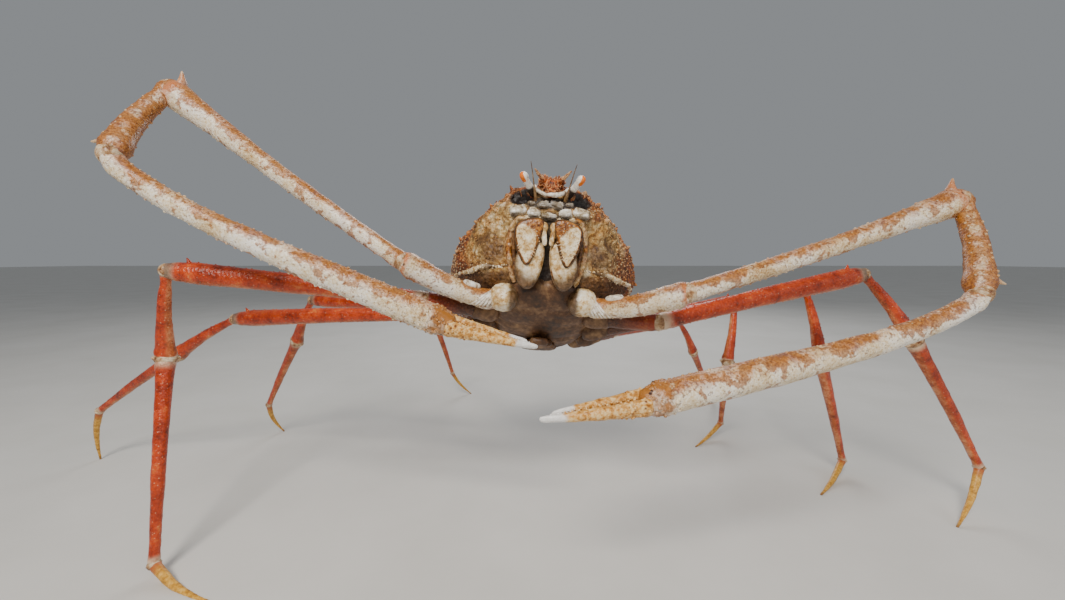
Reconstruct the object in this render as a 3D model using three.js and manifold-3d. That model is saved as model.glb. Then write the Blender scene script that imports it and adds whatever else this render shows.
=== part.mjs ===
// Japanese spider crab, an old male at life size.
// It stands on its eight walking legs with the body reared up and both claw arms raised and folded in.
// Lengths are in millimetres, Z is up, the crab faces -Y and its right side is on -X.

import * as THREE from "three";
import { mergeVertices } from "three/addons/utils/BufferGeometryUtils.js";
import Module from "manifold-3d";

const wasm = await Module();
wasm.setup();

// Clearance left between two neighbouring pieces
const GAP = 0.3;

// Trunk: where its middle stands and how it is turned, in degrees
const TRUNK_MIDDLE = new THREE.Vector3(20, 0, 467);
const TRUNK_REAR_UP = 35.6;
const TRUNK_ROLL = 5;
const TRUNK_TURN = 3;

// Carapace, from the front margin to the hind margin
const CARAPACE_LENGTH = 355;
const CARAPACE_FRONT = -172;
const HALF_WIDTHS = [92, 111, 133, 155, 169, 177, 176, 162, 140];
const MIDDLE_LEVELS = [28, 24, 14, 8, 8, 8, 6, 4, 0];
const TOP_HEIGHTS = [50, 58, 74, 84, 86, 88, 86, 76, 66];
const UNDER_DEPTHS = [38, 80, 108, 104, 80, 70, 66, 64, 60];
const ROUND_THE_TRUNK = 32;
const ALONG_THE_TRUNK = 20;

// Rostral horns
const HORN_ROOT = [10, -172, 50];
const HORN_TIP = [26, -210, 41];
const HORN_RADII = [[0, 6.4], [0.4, 3.8], [1, 1.4]];

// Tubercles of the carapace, laid out on a spiral, and its larger paired spines:
// where each stands on the shell sideways and along, its height and its radius
const TUBERCLE_SPIRAL = 205;
const TUBERCLE_HEIGHT = [4.5, 2];
const TUBERCLE_RADIUS = [4.4, 1.1];
const SHOULDER_SPINES = [
  [[60, -140], 15, 6],
  [[88, -104], 12, 6],
  [[122, -60], 11, 6],
  [[150, -8], 10, 6],
];

// Raised plates of the face, from the midline outwards: middle and radii
const FACE_PLATES = [
  [[0, 1], [33, 6, 9]],
  [[47, 4], [14, 6, 8]],
  [[58, -30], [6, 6, 22]],
];
const ROSTRUM = [[0, -172, 38], [24, 13, 14]];

// Domed coxae of the claw arms, beside the mouth
const CLAW_COXA = [[63, -66, -103], [20, 18, 19]];

// Segments of the folded abdomen: place along, height, half width
const ABDOMEN_SEGMENTS = [[128, -96, 25], [112, -103, 30], [94, -110, 32], [74, -117, 28], [55, -123, 22], [38, -128, 15]];

// Thorax under the carapace
const THORAX_HALF_WIDTH = 88;
const THORAX_HALF_LENGTH = 112;
const THORAX_HEIGHT = 50;
const THORAX_DEPTH = 35;
const THORAX_MIDDLE = new THREE.Vector3(0, 18, -84);

// Where each pair of limbs leaves the trunk: sideways, backwards and up from its middle
const COXAE = [
  [66, -57, -96],
  [95, -12, -98],
  [98, 38, -96],
  [94, 84, -88],
  [80, 124, -76],
];

// Lengths of ischium, merus, carpus, hand or propodus, and finger or dactyl, claw arm first
const ARTICLE_LENGTHS = [
  [167, 454, 165, 506, 133],
  [104, 398, 148, 316, 134],
  [132, 412, 170, 300, 145],
  [104, 358, 148, 250, 120],
  [100, 335, 145, 246, 120],
];

// Pose: each article's heading and rise in degrees. A heading of 0 points straight out to the
// limb's own side and 90 points forwards. A walking dactyl has no rise here: it reaches for the floor.
const POSE = {
  R: [
    [[13, 20], [-5, 36], [89, -48], [-175, -28], [-177, -14]],
    [[18, 11], [5, 7], [-38, -75], [104, -76], [156]],
    [[-11, 5], [-13, -3], [-12, -28], [-16, -30], [-40]],
    [[-46, 20], [-15, 1], [-43, -46], [-36, -49], [-89]],
    [[-56, 0], [-70, -4], [-62, -10], [-101, -54], [-135]],
  ],
  L: [
    [[26, 7], [-6, 18], [114, -57], [171, -15], [170, -5]],
    [[22, -2], [-11, 11], [5, -52], [-13, -54], [147]],
    [[2, 10], [-28, 5], [103, -51], [-38, -58], [138]],
    [[-19, 12], [-36, 4], [132, -77], [-71, -54], [143]],
    [[-39, 2], [-48, -2], [-50, -42], [-54, -42], [-60]],
  ],
};

// Radius along each article, as [fraction of its length, millimetres]
const CLAW_RADII = {
  ischium: [[0, 17.5], [0.16, 18], [0.26, 15.5], [0.5, 17.5], [0.85, 19.5], [0.94, 19], [1, 15]],
  merus: [[0, 14.5], [0.05, 13.5], [0.3, 14], [0.55, 14.5], [0.78, 17], [0.9, 20.5], [0.965, 22], [1, 18]],
  carpus: [[0, 13.5], [0.15, 14], [0.45, 15.5], [0.75, 18], [0.9, 19], [1, 16]],
  hand: [[0, 15.5], [0.05, 14.5], [0.2, 15], [0.45, 17.5], [0.7, 20.5], [0.86, 22.5], [0.96, 21.5], [1, 18]],
};
const FINGER_RADII = [[0, 15.5], [0.12, 13], [0.4, 9.6], [0.7, 6.4], [0.9, 4.2], [1, 3]];
const LEG_RADII = {
  ischium: [[0, 17], [0.3, 15.5], [0.7, 16], [1, 14]],
  merus: [[0, 14], [0.06, 13], [0.3, 14.5], [0.6, 16], [0.9, 17.5], [1, 12]],
  carpus: [[0, 9], [0.12, 8], [0.45, 10], [0.85, 13.5], [1, 12]],
  propodus: [[0, 12], [0.08, 13], [0.2, 12], [0.5, 10.5], [0.9, 8], [1, 7.5]],
  dactyl: [[0, 7.5], [0.15, 7], [0.4, 5.8], [0.7, 4.2], [0.92, 2.8], [1, 2.4]],
};
const LEG_STOUTNESS = [1, 1, 0.96, 0.88, 0.8];

// Rows of tubercles along the claw arms: first and last place along the article, how many,
// degrees round from its upper edge, height and radius
const CLAW_ROWS = {
  merus: [[0.2, 0.86, 7, -25, 2.6, 3.4], [0.2, 0.86, 7, 180, 2.6, 3.4]],
  carpus: [[0.35, 0.75, 3, 40, 4, 4.2]],
  hand: [[0.14, 0.88, 10, 12, 2.6, 3.4], [0.14, 0.88, 10, 172, 2.6, 3.4]],
};
const MERUS_SPINE = { claw: [0.975, 0, 18, 8], leg: [0.92, 0, 8, 4] };
const CARPUS_SPINE = [0.86, 0, 12, 5];

// How far each article bows from a straight line, and where along it the bow is deepest
const BOWS = {
  claw: { ischium: -15, merus: -4, carpus: 8, hand: -22 },
  leg: { merus: 2, carpus: 4, propodus: 3, dactyl: 10 },
};
const BOW_SKEWS = { ischium: 0.6, hand: 0.55 };

// A foot's tip is centred this far above the floor, so that it ends in a small flat
const TIP_RISE = 1.2;

// How far each claw is rolled back, so that its fixed finger faces forwards, and how much
// shorter the hinged finger is
const CLAW_ROLL = 65;
const HINGED_SHARE = 0.88;

const UP = new THREE.Vector3(0, 0, 1);
const rad = THREE.MathUtils.degToRad;

// The trunk's own frame: x to the crab's left, y to its rear and z to its back
const trunkFrame = new THREE.Matrix4()
  .makeTranslation(TRUNK_MIDDLE)
  .multiply(new THREE.Matrix4().makeRotationZ(rad(TRUNK_TURN)))
  .multiply(new THREE.Matrix4().makeRotationX(rad(-TRUNK_REAR_UP)))
  .multiply(new THREE.Matrix4().makeRotationY(rad(TRUNK_ROLL)));

// A closed solid from a geometry
function solidOf(geometry) {
  const bare = new THREE.BufferGeometry();
  bare.setAttribute("position", geometry.getAttribute("position"));
  bare.setIndex(geometry.index);
  const merged = mergeVertices(bare, 1e-3);
  const corners = [];
  for (let i = 0; i < merged.index.count; i += 3) {
    const [a, b, c] = [0, 1, 2].map((k) => merged.index.getX(i + k));
    if (a !== b && b !== c && c !== a) corners.push(a, b, c);
  }
  return new wasm.Manifold(
    new wasm.Mesh({
      numProp: 3,
      vertProperties: merged.attributes.position.array,
      triVerts: new Uint32Array(corners),
    }),
  );
}

// The largest of a solid's separate pieces
function largest(solid) {
  const pieces = solid.decompose();
  pieces.sort((a, b) => b.volume() - a.volume());
  return pieces[0];
}

// What remains of a solid on the side of a plane that its normal points to
function keepSide(solid, point, normal) {
  return solid.trimByPlane(normal.toArray(), point.dot(normal));
}

// A frame at a point with y along a direction and z as near to a wanted direction as it can be
function frameAlong(origin, direction, toward = UP) {
  const y = direction.clone().normalize();
  const z = toward.clone().addScaledVector(y, -toward.dot(y)).normalize();
  const x = new THREE.Vector3().crossVectors(y, z);
  return new THREE.Matrix4().makeBasis(x, y, z).setPosition(origin);
}

// A turned article with round ends about both its joint centres, flattened and bowed a little
function article(from, to, radii, { sides = 8, bow = 0, skew = 1, flat = 1, grow = 0, toward = UP } = {}) {
  const along = to.clone().sub(from);
  const length = along.length();
  const first = radii[0][1] + grow;
  const last = radii.at(-1)[1] + grow;
  const outline = [
    new THREE.Vector2(0, -first),
    new THREE.Vector2(first * 0.71, -first * 0.71),
    ...radii.map(([at, radius]) => new THREE.Vector2(radius + grow, at * length)),
    new THREE.Vector2(last * 0.71, length + last * 0.71),
    new THREE.Vector2(0, length + last),
  ];
  const geometry = new THREE.LatheGeometry(outline, sides);
  const position = geometry.getAttribute("position");
  for (let i = 0; i < position.count; i += 1) {
    const t = THREE.MathUtils.clamp(position.getY(i) / length, 0, 1);
    position.setX(i, position.getX(i) * flat);
    position.setZ(i, position.getZ(i) + bow * Math.sin(Math.PI * t ** skew));
  }
  geometry.applyMatrix4(frameAlong(from, along, toward));
  return solidOf(geometry);
}

// A tubercle or spine standing on a surface, with its root sunk in it
function spine(root, outward, height, radius, sides = 5) {
  const sunk = radius * 0.8;
  const geometry = new THREE.ConeGeometry((radius * (height + sunk)) / height, height + sunk, sides);
  geometry.translate(0, (height - sunk) / 2, 0);
  const steep = Math.abs(outward.z) > 0.9;
  geometry.applyMatrix4(frameAlong(root, outward, steep ? new THREE.Vector3(1, 0, 0) : UP));
  return solidOf(geometry);
}

// A spine at a fraction of an article's length and an angle round it, leaning a little to its far end
function articleSpine(from, to, radii, options, [at, angle, height, radius]) {
  const after = radii.findIndex(([place]) => place > at);
  const [[low, r0], [high, r1]] = [radii[after - 1], radii[after]];
  const reach = r0 + ((r1 - r0) * (at - low)) / (high - low);
  const along = to.clone().sub(from);
  const frame = frameAlong(from, along, options.toward ?? UP);
  const bow = options.bow * Math.sin(Math.PI * at ** options.skew);
  const away = new THREE.Vector3(Math.sin(rad(angle)) * options.flat, 0, Math.cos(rad(angle)));
  const root = away.clone().multiplyScalar(reach * 0.97).add(new THREE.Vector3(0, at * along.length(), bow));
  const outward = away.setY(0.25).transformDirection(frame);
  return spine(root.applyMatrix4(frame), outward, height, radius);
}

// A smooth curve through evenly spaced values, read at a fraction of its length
function smooth(values) {
  const curve = new THREE.SplineCurve(values.map((value, i) => new THREE.Vector2(i, value)));
  return (t) => curve.getPoint(THREE.MathUtils.clamp(t, 0, 1)).y;
}
const halfWidth = smooth(HALF_WIDTHS);
const middleLevel = smooth(MIDDLE_LEVELS);
const topHeight = smooth(TOP_HEIGHTS);
const underDepth = smooth(UNDER_DEPTHS);

// Swollen regions of the carapace: sideways, along, reach sideways, reach along and rise
const REGIONS = [
  [0, -60, 42, 50, 12],
  [0, 55, 34, 34, 10],
  [0, 122, 26, 26, 6],
  [84, 30, 46, 66, 14],
  [-84, 30, 46, 66, 14],
  [62, -82, 22, 26, 6],
  [-62, -82, 22, 26, 6],
];

function swelling(x, y) {
  return REGIONS.reduce((sum, [cx, cy, rx, ry, rise]) => {
    const away = ((x - cx) / rx) ** 2 + ((y - cy) / ry) ** 2;
    return sum + rise * Math.exp(-away);
  }, 0);
}

// A point of the carapace's skin, in the trunk's frame, from a point of a unit ball
function carapacePoint(ball) {
  const t = (1 + ball.y) / 2;
  const ring = Math.hypot(ball.x, ball.z) || 1e-9;
  const across = ball.x / ring;
  const high = ball.z / ring;
  const reach = Math.max(0, 1 - ball.y * ball.y) ** 0.25;
  const x = Math.sign(across) * Math.abs(across) ** 0.85 * reach * halfWidth(t);
  const tall = high > 0 ? topHeight(t) : underDepth(t);
  const z = middleLevel(t) + Math.sign(high) * Math.abs(high) ** 0.85 * reach * tall;
  const y = CARAPACE_FRONT + CARAPACE_LENGTH * t;
  const lift = Math.max(0, high) * reach * (swelling(x, y) - 5);
  return new THREE.Vector3(x, y, z + lift);
}

// The carapace's skin at a point of the unit ball and the way out of it, in the part's frame
function carapaceSpot(ball) {
  const side = new THREE.Vector3(0, 1, 0).cross(ball).normalize();
  const [here, aside, ahead] = [new THREE.Vector3(), side, ball.clone().cross(side)].map((step) =>
    carapacePoint(ball.clone().addScaledVector(step, 0.02).normalize()),
  );
  const outward = aside.sub(here).cross(ahead.sub(here)).normalize();
  return [here.applyMatrix4(trunkFrame), outward.transformDirection(trunkFrame)];
}

// The point of the unit ball whose place on the carapace's back is this far sideways and along
function ballAbove(x, y) {
  const t = (y - CARAPACE_FRONT) / CARAPACE_LENGTH;
  const ballY = 2 * t - 1;
  const reach = (1 - ballY * ballY) ** 0.25;
  const across = Math.min(1, Math.abs(x) / (reach * halfWidth(t))) ** (1 / 0.85);
  const ring = Math.sqrt(1 - ballY * ballY);
  return new THREE.Vector3(Math.sign(x) * across * ring, ballY, Math.sqrt(1 - across * across) * ring);
}

// How far along the trunk the front of the carapace lies at a place of the face
function frontOf(x, z) {
  const inside = (t) => {
    const reach = (1 - (2 * t - 1) ** 2) ** 0.25;
    const above = z - middleLevel(t);
    const tall = above > 0 ? topHeight(t) : underDepth(t);
    const wide = Math.abs(x) / (reach * halfWidth(t));
    return wide ** (2 / 0.85) + (Math.abs(above) / (reach * tall)) ** (2 / 0.85) < 1;
  };
  let t = 0.002;
  while (!inside(t)) t += 0.002;
  return CARAPACE_FRONT + CARAPACE_LENGTH * t;
}

function ballMapped(around, along, map) {
  const geometry = new THREE.SphereGeometry(1, around, along);
  const position = geometry.getAttribute("position");
  const point = new THREE.Vector3();
  for (let i = 0; i < position.count; i += 1) {
    point.fromBufferAttribute(position, i);
    position.setXYZ(i, ...map(point).toArray());
  }
  geometry.applyMatrix4(trunkFrame);
  return solidOf(geometry);
}

// A boxy ball with its own reach to each side, above and below
function thoraxSolid(grow) {
  const [[outward, along, up], radii] = CLAW_COXA;
  const domes = [-1, 1].map((side) =>
    plate([side * outward, along, up], radii.map((radius) => radius + grow), [0, 0, 0], 10, 6),
  );
  return ballMapped(18, 12, (ball) => {
    const soft = (value) => Math.sign(value) * Math.abs(value) ** 0.8;
    const tall = ball.z > 0 ? THORAX_HEIGHT : THORAX_DEPTH;
    return new THREE.Vector3(
      soft(ball.x) * (THORAX_HALF_WIDTH + grow),
      ball.y * (THORAX_HALF_LENGTH + grow),
      soft(ball.z) * (tall + grow),
    ).add(THORAX_MIDDLE);
  }).add(domes[0]).add(domes[1]);
}

// An egg-shaped plate of the face or underside, given in the trunk's frame
function plate(middle, radii, turns, around = 12, along = 8) {
  const turn = new THREE.Matrix4().makeRotationFromEuler(new THREE.Euler(...turns.map(rad), "ZYX"));
  return ballMapped(around, along, (ball) =>
    new THREE.Vector3(...radii).multiply(ball).applyMatrix4(turn).add(new THREE.Vector3(...middle)),
  );
}

// A tapering rod between two points of the trunk's frame
function rod(from, to, radii, options) {
  const start = new THREE.Vector3(...from).applyMatrix4(trunkFrame);
  const end = new THREE.Vector3(...to).applyMatrix4(trunkFrame);
  return article(start, end, radii, options);
}

// The unit direction of a heading and rise on one side
function directionOf(side, heading, rise) {
  const out = side * Math.cos(rad(heading)) * Math.cos(rad(rise));
  return new THREE.Vector3(out, -Math.sin(rad(heading)) * Math.cos(rad(rise)), Math.sin(rad(rise)));
}

// The six joint centres of a limb, from the trunk to its tip
function jointsOf(side, pair) {
  const [outward, back, up] = COXAE[pair];
  const joints = [new THREE.Vector3(side * outward, back, up).applyMatrix4(trunkFrame)];
  POSE[side < 0 ? "R" : "L"][pair].forEach(([heading, rise], i) => {
    const start = joints.at(-1);
    const length = ARTICLE_LENGTHS[pair][i];
    const down = rise ?? THREE.MathUtils.radToDeg(Math.asin((TIP_RISE - start.z) / length));
    joints.push(start.clone().addScaledVector(directionOf(side, heading, down), length));
  });
  return joints;
}

// Cuts an article back from its joints along the planes that halve the bends
function cutAtJoints(solid, joints, index, gap) {
  const way = (i) => joints[i + 1].clone().sub(joints[i]).normalize();
  let cut = solid;
  if (index > 0) {
    const half = way(index - 1).add(way(index)).normalize();
    cut = keepSide(cut, joints[index].clone().addScaledVector(half, gap / 2), half);
  }
  if (index < joints.length - 2) {
    const half = way(index).add(way(index + 1)).normalize();
    const back = half.clone().negate();
    cut = keepSide(cut, joints[index + 1].clone().addScaledVector(back, gap / 2), back);
  }
  return cut;
}

const group = new THREE.Group();
group.name = "japanese_spider_crab";
const paints = {
  shell: new THREE.MeshStandardMaterial({ color: 0xa86a3a, roughness: 0.75 }),
  underside: new THREE.MeshStandardMaterial({ color: 0x8a6a4a, roughness: 0.7 }),
  face: new THREE.MeshStandardMaterial({ color: 0xd8c8a8, roughness: 0.6 }),
  eye: new THREE.MeshStandardMaterial({ color: 0xe07a20, roughness: 0.25 }),
  claw: new THREE.MeshStandardMaterial({ color: 0xe0cdb0, roughness: 0.6 }),
  finger: new THREE.MeshStandardMaterial({ color: 0xd09a50, roughness: 0.5 }),
  leg: new THREE.MeshStandardMaterial({ color: 0xc2451f, roughness: 0.55 }),
  foot: new THREE.MeshStandardMaterial({ color: 0xc98a3c, roughness: 0.5 }),
};

function addPiece(name, solid, paint) {
  const { vertProperties, triVerts } = largest(solid).getMesh();
  const geometry = new THREE.BufferGeometry();
  geometry.setAttribute("position", new THREE.BufferAttribute(new Float32Array(vertProperties), 3));
  geometry.setIndex(new THREE.BufferAttribute(new Uint32Array(triVerts), 1));
  geometry.computeVertexNormals();
  const mesh = new THREE.Mesh(geometry, paints[paint].clone());
  mesh.name = name;
  group.add(mesh);
}

// Where the tubercles and spines of an article stand: place along, degrees round, height and radius
function spinesOf(arm, name) {
  const places = [];
  for (const [first, last, count, angle, height, radius] of arm ? (CLAW_ROWS[name] ?? []) : []) {
    for (let i = 0; i < count; i += 1) {
      const at = first + ((last - first) * i) / (count - 1);
      places.push([at, angle + (i % 2) * 9, height * (1 + 0.2 * Math.sin(i * 2.1)), radius]);
    }
  }
  if (name === "merus") places.push(MERUS_SPINE[arm ? "claw" : "leg"]);
  if (arm && name === "carpus") places.push(CARPUS_SPINE);
  return places;
}

// Walking legs and claw arms, side by side
const bases = [];
for (const [letter, side] of [["R", -1], ["L", 1]]) {
  for (let pair = 0; pair < 5; pair += 1) {
    const joints = jointsOf(side, pair);
    const arm = pair === 0;
    const stout = LEG_STOUTNESS[pair];
    const names = arm
      ? ["ischium", "merus", "carpus", "hand", "finger"]
      : ["ischium", "merus", "carpus", "propodus", "dactyl"];
    names.forEach((name, i) => {
      if (name === "finger") return;
      const radii = (arm ? CLAW_RADII : LEG_RADII)[name].map(([at, r]) => [at, r * stout]);
      const bow = BOWS[arm ? "claw" : "leg"][name] ?? 0;
      const options = { sides: arm ? 12 : 8, bow, skew: BOW_SKEWS[name] ?? 1, flat: 0.94 };
      if (name === "carpus") options.toward = new THREE.Vector3(side, 0, 0.3);
      if (name === "dactyl") options.toward = joints[4].clone().sub(joints[3]);
      let solid = article(joints[i], joints[i + 1], radii, options);
      for (const place of spinesOf(arm, name)) {
        solid = solid.add(articleSpine(joints[i], joints[i + 1], radii, options, place));
      }
      solid = cutAtJoints(solid, joints, i, GAP);
      if (name === "dactyl") {
        solid = keepSide(solid, new THREE.Vector3(), UP);
      }
      if (name === "ischium") {
        bases.push(article(joints[0], joints[1], radii, { ...options, grow: GAP }));
      }
      if (name === "hand") {
        const tip = joints[5];
        const reach = tip.clone().sub(joints[4]);
        const rolled = new THREE.Vector3(0, Math.sin(rad(CLAW_ROLL)), Math.cos(rad(CLAW_ROLL)));
        const open = rolled.addScaledVector(reach, -rolled.dot(reach) / reach.lengthSq()).normalize();
        const low = open.clone().multiplyScalar(-3.5);
        const fixed = article(joints[4].clone().add(low), tip.clone().addScaledVector(open, -1.4), FINGER_RADII, {
          sides: 10,
          bow: -4,
          toward: open,
        });
        const below = open.clone().negate();
        const parting = joints[4].clone().addScaledVector(below, GAP / 2);
        solid = solid.add(keepSide(fixed, parting, below));
        const shorter = joints[4].clone().addScaledVector(reach, HINGED_SHARE).addScaledVector(open, 1.4);
        const high = joints[4].clone().addScaledVector(open, 3);
        let moving = article(high, shorter, FINGER_RADII, { sides: 10, bow: 2, toward: open });
        moving = keepSide(moving, joints[4].clone().addScaledVector(open, GAP / 2), open);
        const way = joints[4].clone().sub(joints[3]).normalize();
        const half = way.add(reach.clone().normalize()).normalize();
        moving = keepSide(moving, joints[4].clone().addScaledVector(half, GAP / 2), half);
        addPiece(`claw_${letter}_finger`, moving, "finger");
      }
      const paint = arm ? "claw" : name === "dactyl" ? "foot" : "leg";
      addPiece(arm ? `claw_${letter}_${name}` : `leg_${letter}${pair}_${name}`, solid, paint);
    });
  }
}

// Thorax, with a socket for each limb
const thoraxGrown = thoraxSolid(GAP);
const thorax = bases.reduce((solid, base) => solid.subtract(base), thoraxSolid(0));
addPiece("thorax", thorax, "underside");

// Carapace, with its pair of horns, its spines and the bay that the thorax fills
let shell = ballMapped(ROUND_THE_TRUNK, ALONG_THE_TRUNK, carapacePoint);
for (const side of [-1, 1]) {
  const mirror = ([x, y, z]) => [side * x, y, z];
  shell = shell.add(rod(mirror(HORN_ROOT), mirror(HORN_TIP), HORN_RADII, { sides: 7 }));
}
shell = shell.add(plate(...ROSTRUM, [0, 0, 0], 10, 6));
for (const [[x, z], radii] of FACE_PLATES) {
  for (const side of x === 0 ? [1] : [-1, 1]) {
    shell = shell.add(plate([side * x, frontOf(x, z) + 1, z], radii, [0, 0, 0], 10, 6));
  }
}
for (const [[x, y], height, radius] of SHOULDER_SPINES) {
  for (const side of [-1, 1]) shell = shell.add(spine(...carapaceSpot(ballAbove(side * x, y)), height, radius));
}
for (let i = 0; i < TUBERCLE_SPIRAL; i += 1) {
  const along = 1 - (2 * i + 1) / TUBERCLE_SPIRAL;
  const ring = Math.sqrt(1 - along * along);
  const turn = rad(i * 137.5);
  const ball = new THREE.Vector3(ring * Math.cos(turn), along, ring * Math.sin(turn));
  if (ball.z < -0.12 || Math.abs(along) > 0.93) continue;
  const height = TUBERCLE_HEIGHT[0] + TUBERCLE_HEIGHT[1] * Math.sin(i * 1.7);
  const radius = TUBERCLE_RADIUS[0] + TUBERCLE_RADIUS[1] * Math.sin(i * 2.3);
  shell = shell.add(spine(...carapaceSpot(ball), height, radius));
}
const shellWhole = shell;
shell = shell.subtract(thoraxGrown);
for (const base of bases) shell = shell.subtract(base);
addPiece("carapace", shell, "shell");

// Abdomen folded flat under the thorax
const abdomen = ABDOMEN_SEGMENTS.map(([along, height, halfWide]) =>
  plate([0, along, height], [halfWide, 14, 7], [20, 0, 0], 10, 6),
).reduce((whole, segment) => whole.add(segment));
addPiece("abdomen", abdomen.subtract(thoraxGrown), "underside");

// Eyes, antennae and outer mouth limbs
for (const [letter, side] of [["R", -1], ["L", 1]]) {
  const stalk = rod([side * 30, -168, 33], [side * 44, -200, 33], [[0, 6], [0.6, 5.6], [1, 6.4]], { sides: 8 });
  addPiece(`eye_${letter}`, stalk.subtract(shellWhole), "eye");

  const lash = [[0, 4.5], [0.2, 3], [0.4, 1.6], [1, 1.2]];
  const antenna = rod([side * 22, -160, 18], [side * 34, -226, 36], lash, { sides: 6 });
  addPiece(`antenna_${letter}`, antenna.subtract(shellWhole), "face");

  const palm = plate([side * 24.5, -112, -70], [22, 36, 14], [-58, 0, side * 6]);
  const leaf = plate([side * 30, -137, -47], [23, 31, 12], [-58, 0, side * -8]);
  const palp = rod([side * 8.5, -156, -28], [side * 6.5, -140, -55], [[0, 6.5], [0.3, 6], [1, 4]], { sides: 6 });
  const mouth = palm.add(leaf).add(palp).subtract(shellWhole).subtract(thoraxGrown);
  addPiece(`maxilliped_${letter}`, mouth, "face");
}

// The part's frame sits on the floor under the middle of the whole animal
const span = new THREE.Box3().setFromObject(group, true);
const centre = span.getCenter(new THREE.Vector3());
group.position.set(-Math.round(centre.x), -Math.round(centre.y), 0);

export default group;
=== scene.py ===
# %% [markdown]
# A Japanese spider crab at life size, standing as a museum shows it.
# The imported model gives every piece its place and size. This lesson grows a finer shell over each
# of its articles, one kind of article at a time, and then paints them from what a living crab's
# shell is: mineralised chitin, cream below and mottled orange-brown above, on orange-red legs.

import math
import random
from contextlib import contextmanager

import bpy
from mathutils import Matrix, Vector, noise


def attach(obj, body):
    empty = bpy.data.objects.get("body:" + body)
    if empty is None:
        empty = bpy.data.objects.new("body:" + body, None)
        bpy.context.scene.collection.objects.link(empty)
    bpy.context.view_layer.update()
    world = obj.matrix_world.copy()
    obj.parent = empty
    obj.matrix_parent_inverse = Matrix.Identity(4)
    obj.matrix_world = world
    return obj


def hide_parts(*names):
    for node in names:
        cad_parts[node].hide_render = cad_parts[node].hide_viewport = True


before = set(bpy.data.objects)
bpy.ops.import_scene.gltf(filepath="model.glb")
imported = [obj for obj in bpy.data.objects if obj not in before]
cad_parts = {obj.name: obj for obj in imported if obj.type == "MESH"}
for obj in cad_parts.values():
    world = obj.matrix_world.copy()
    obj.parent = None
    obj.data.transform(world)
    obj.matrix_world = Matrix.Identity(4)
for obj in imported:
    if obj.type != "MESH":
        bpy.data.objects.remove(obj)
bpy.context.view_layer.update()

# %% [markdown]
# Blender works in metres, and a crab is easier to think of in millimetres, so every size below is
# in millimetres times MM. An operator acts on whatever is selected, so each step starts by
# selecting nothing, and a finished piece has its place in its mesh, with its object at the origin.

# %% Small tools for selecting, adding and finishing
MM = 0.001
UP = Vector((0, 0, 1))
SIDES = (("R", -1), ("L", 1))
rng = random.Random(41)


def clamp(value, top=1):
    return min(top, max(0, value))


def deselect():
    bpy.ops.object.select_all(action="DESELECT")


def pick(piece):
    deselect()
    piece.select_set(True)
    bpy.context.view_layer.objects.active = piece


def add_object(name, data):
    piece = bpy.data.objects.new(name, data)
    bpy.context.scene.collection.objects.link(piece)
    return piece


def own_copy(model, name):
    return add_object(name, model.data.copy())


@contextmanager
def editing():
    """Edit mode, with all of the active piece selected."""
    bpy.ops.object.mode_set(mode="EDIT")
    bpy.ops.mesh.select_all(action="SELECT")
    yield
    bpy.ops.object.mode_set(mode="OBJECT")


def turn_outward():
    bpy.ops.mesh.select_all(action="SELECT")
    bpy.ops.mesh.normals_make_consistent(inside=False)


def unit_ball(name, segments, rings):
    """A ball about the origin with its poles on y."""
    deselect()
    bpy.ops.mesh.primitive_uv_sphere_add(segments=segments, ring_count=rings, radius=1,
                                         rotation=(math.radians(-90), 0, 0))
    ball = bpy.context.object
    ball.name = name
    bpy.ops.object.transform_apply(location=False, rotation=True, scale=False)
    return ball


def settle(piece, matrix):
    """Puts a finished piece where it belongs and leaves its object at the origin."""
    piece.data.transform(matrix)
    piece.matrix_world = Matrix.Identity(4)
    piece.data.update()
    return piece


def apply_modifier(piece, kind, **settings):
    pick(piece)
    modifier = piece.modifiers.new(kind.title(), kind)
    for key, value in settings.items():
        setattr(modifier, key, value)
    bpy.ops.object.modifier_apply(modifier=modifier.name)


def smooth_over(piece, levels):
    apply_modifier(piece, "SUBSURF", levels=levels, render_levels=levels)


def join(pieces, name):
    deselect()
    for piece in pieces:
        piece.select_set(True)
    bpy.context.view_layer.objects.active = pieces[0]
    bpy.ops.object.join()
    pieces[0].name = name
    return pieces[0]


def nearest(piece, place):
    """The nearest spot of a piece's skin, and the way out of it."""
    found, spot, outward, face = piece.closest_point_on_mesh(place)
    return spot, outward


# %% [markdown]
# The photograph was taken with a very wide lens from under a metre away, level with the crab's
# body. The same short lens at the same place gives the same swept look: near claws loom and far
# legs shrink. It is tipped down by 5 degrees and isn't shifted.

# %% Camera
EYE_AT = Vector((95, -1083, 488.6)) * MM
LENS_DOWN = 5.16
FOCAL_PIXELS = 459.4
FRAME_WIDTH_PIXELS = 1065
SENSOR_WIDTH = 36

bpy.ops.object.camera_add(location=EYE_AT, rotation=(math.radians(90 - LENS_DOWN), 0, 0))
camera = bpy.context.object
camera.data.sensor_width = SENSOR_WIDTH
camera.data.lens = SENSOR_WIDTH * FOCAL_PIXELS / FRAME_WIDTH_PIXELS
camera.data.clip_start = 0.01
bpy.context.scene.camera = camera
print("lens in millimetres:", round(camera.data.lens, 2))

# %% [markdown]
# A pale floor and three large soft lights stand in for a studio. The strongest light hangs high in
# front, because that is how the crab in the photograph is lit: bright face and arms, dim underside.

# %% Floor and lights
bpy.ops.mesh.primitive_plane_add(size=60, location=(0, 0, 0))
floor = bpy.context.object
floor.name = "floor"


def soft_light(name, place, aim, size, watts, colour=(1, 1, 1)):
    bpy.ops.object.light_add(type="AREA", location=place)
    light = bpy.context.object
    light.name = name
    light.data.size = size
    light.data.energy = watts
    light.data.color = colour
    light.rotation_euler = (Vector(aim) - Vector(place)).to_track_quat("-Z", "Y").to_euler()


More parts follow.
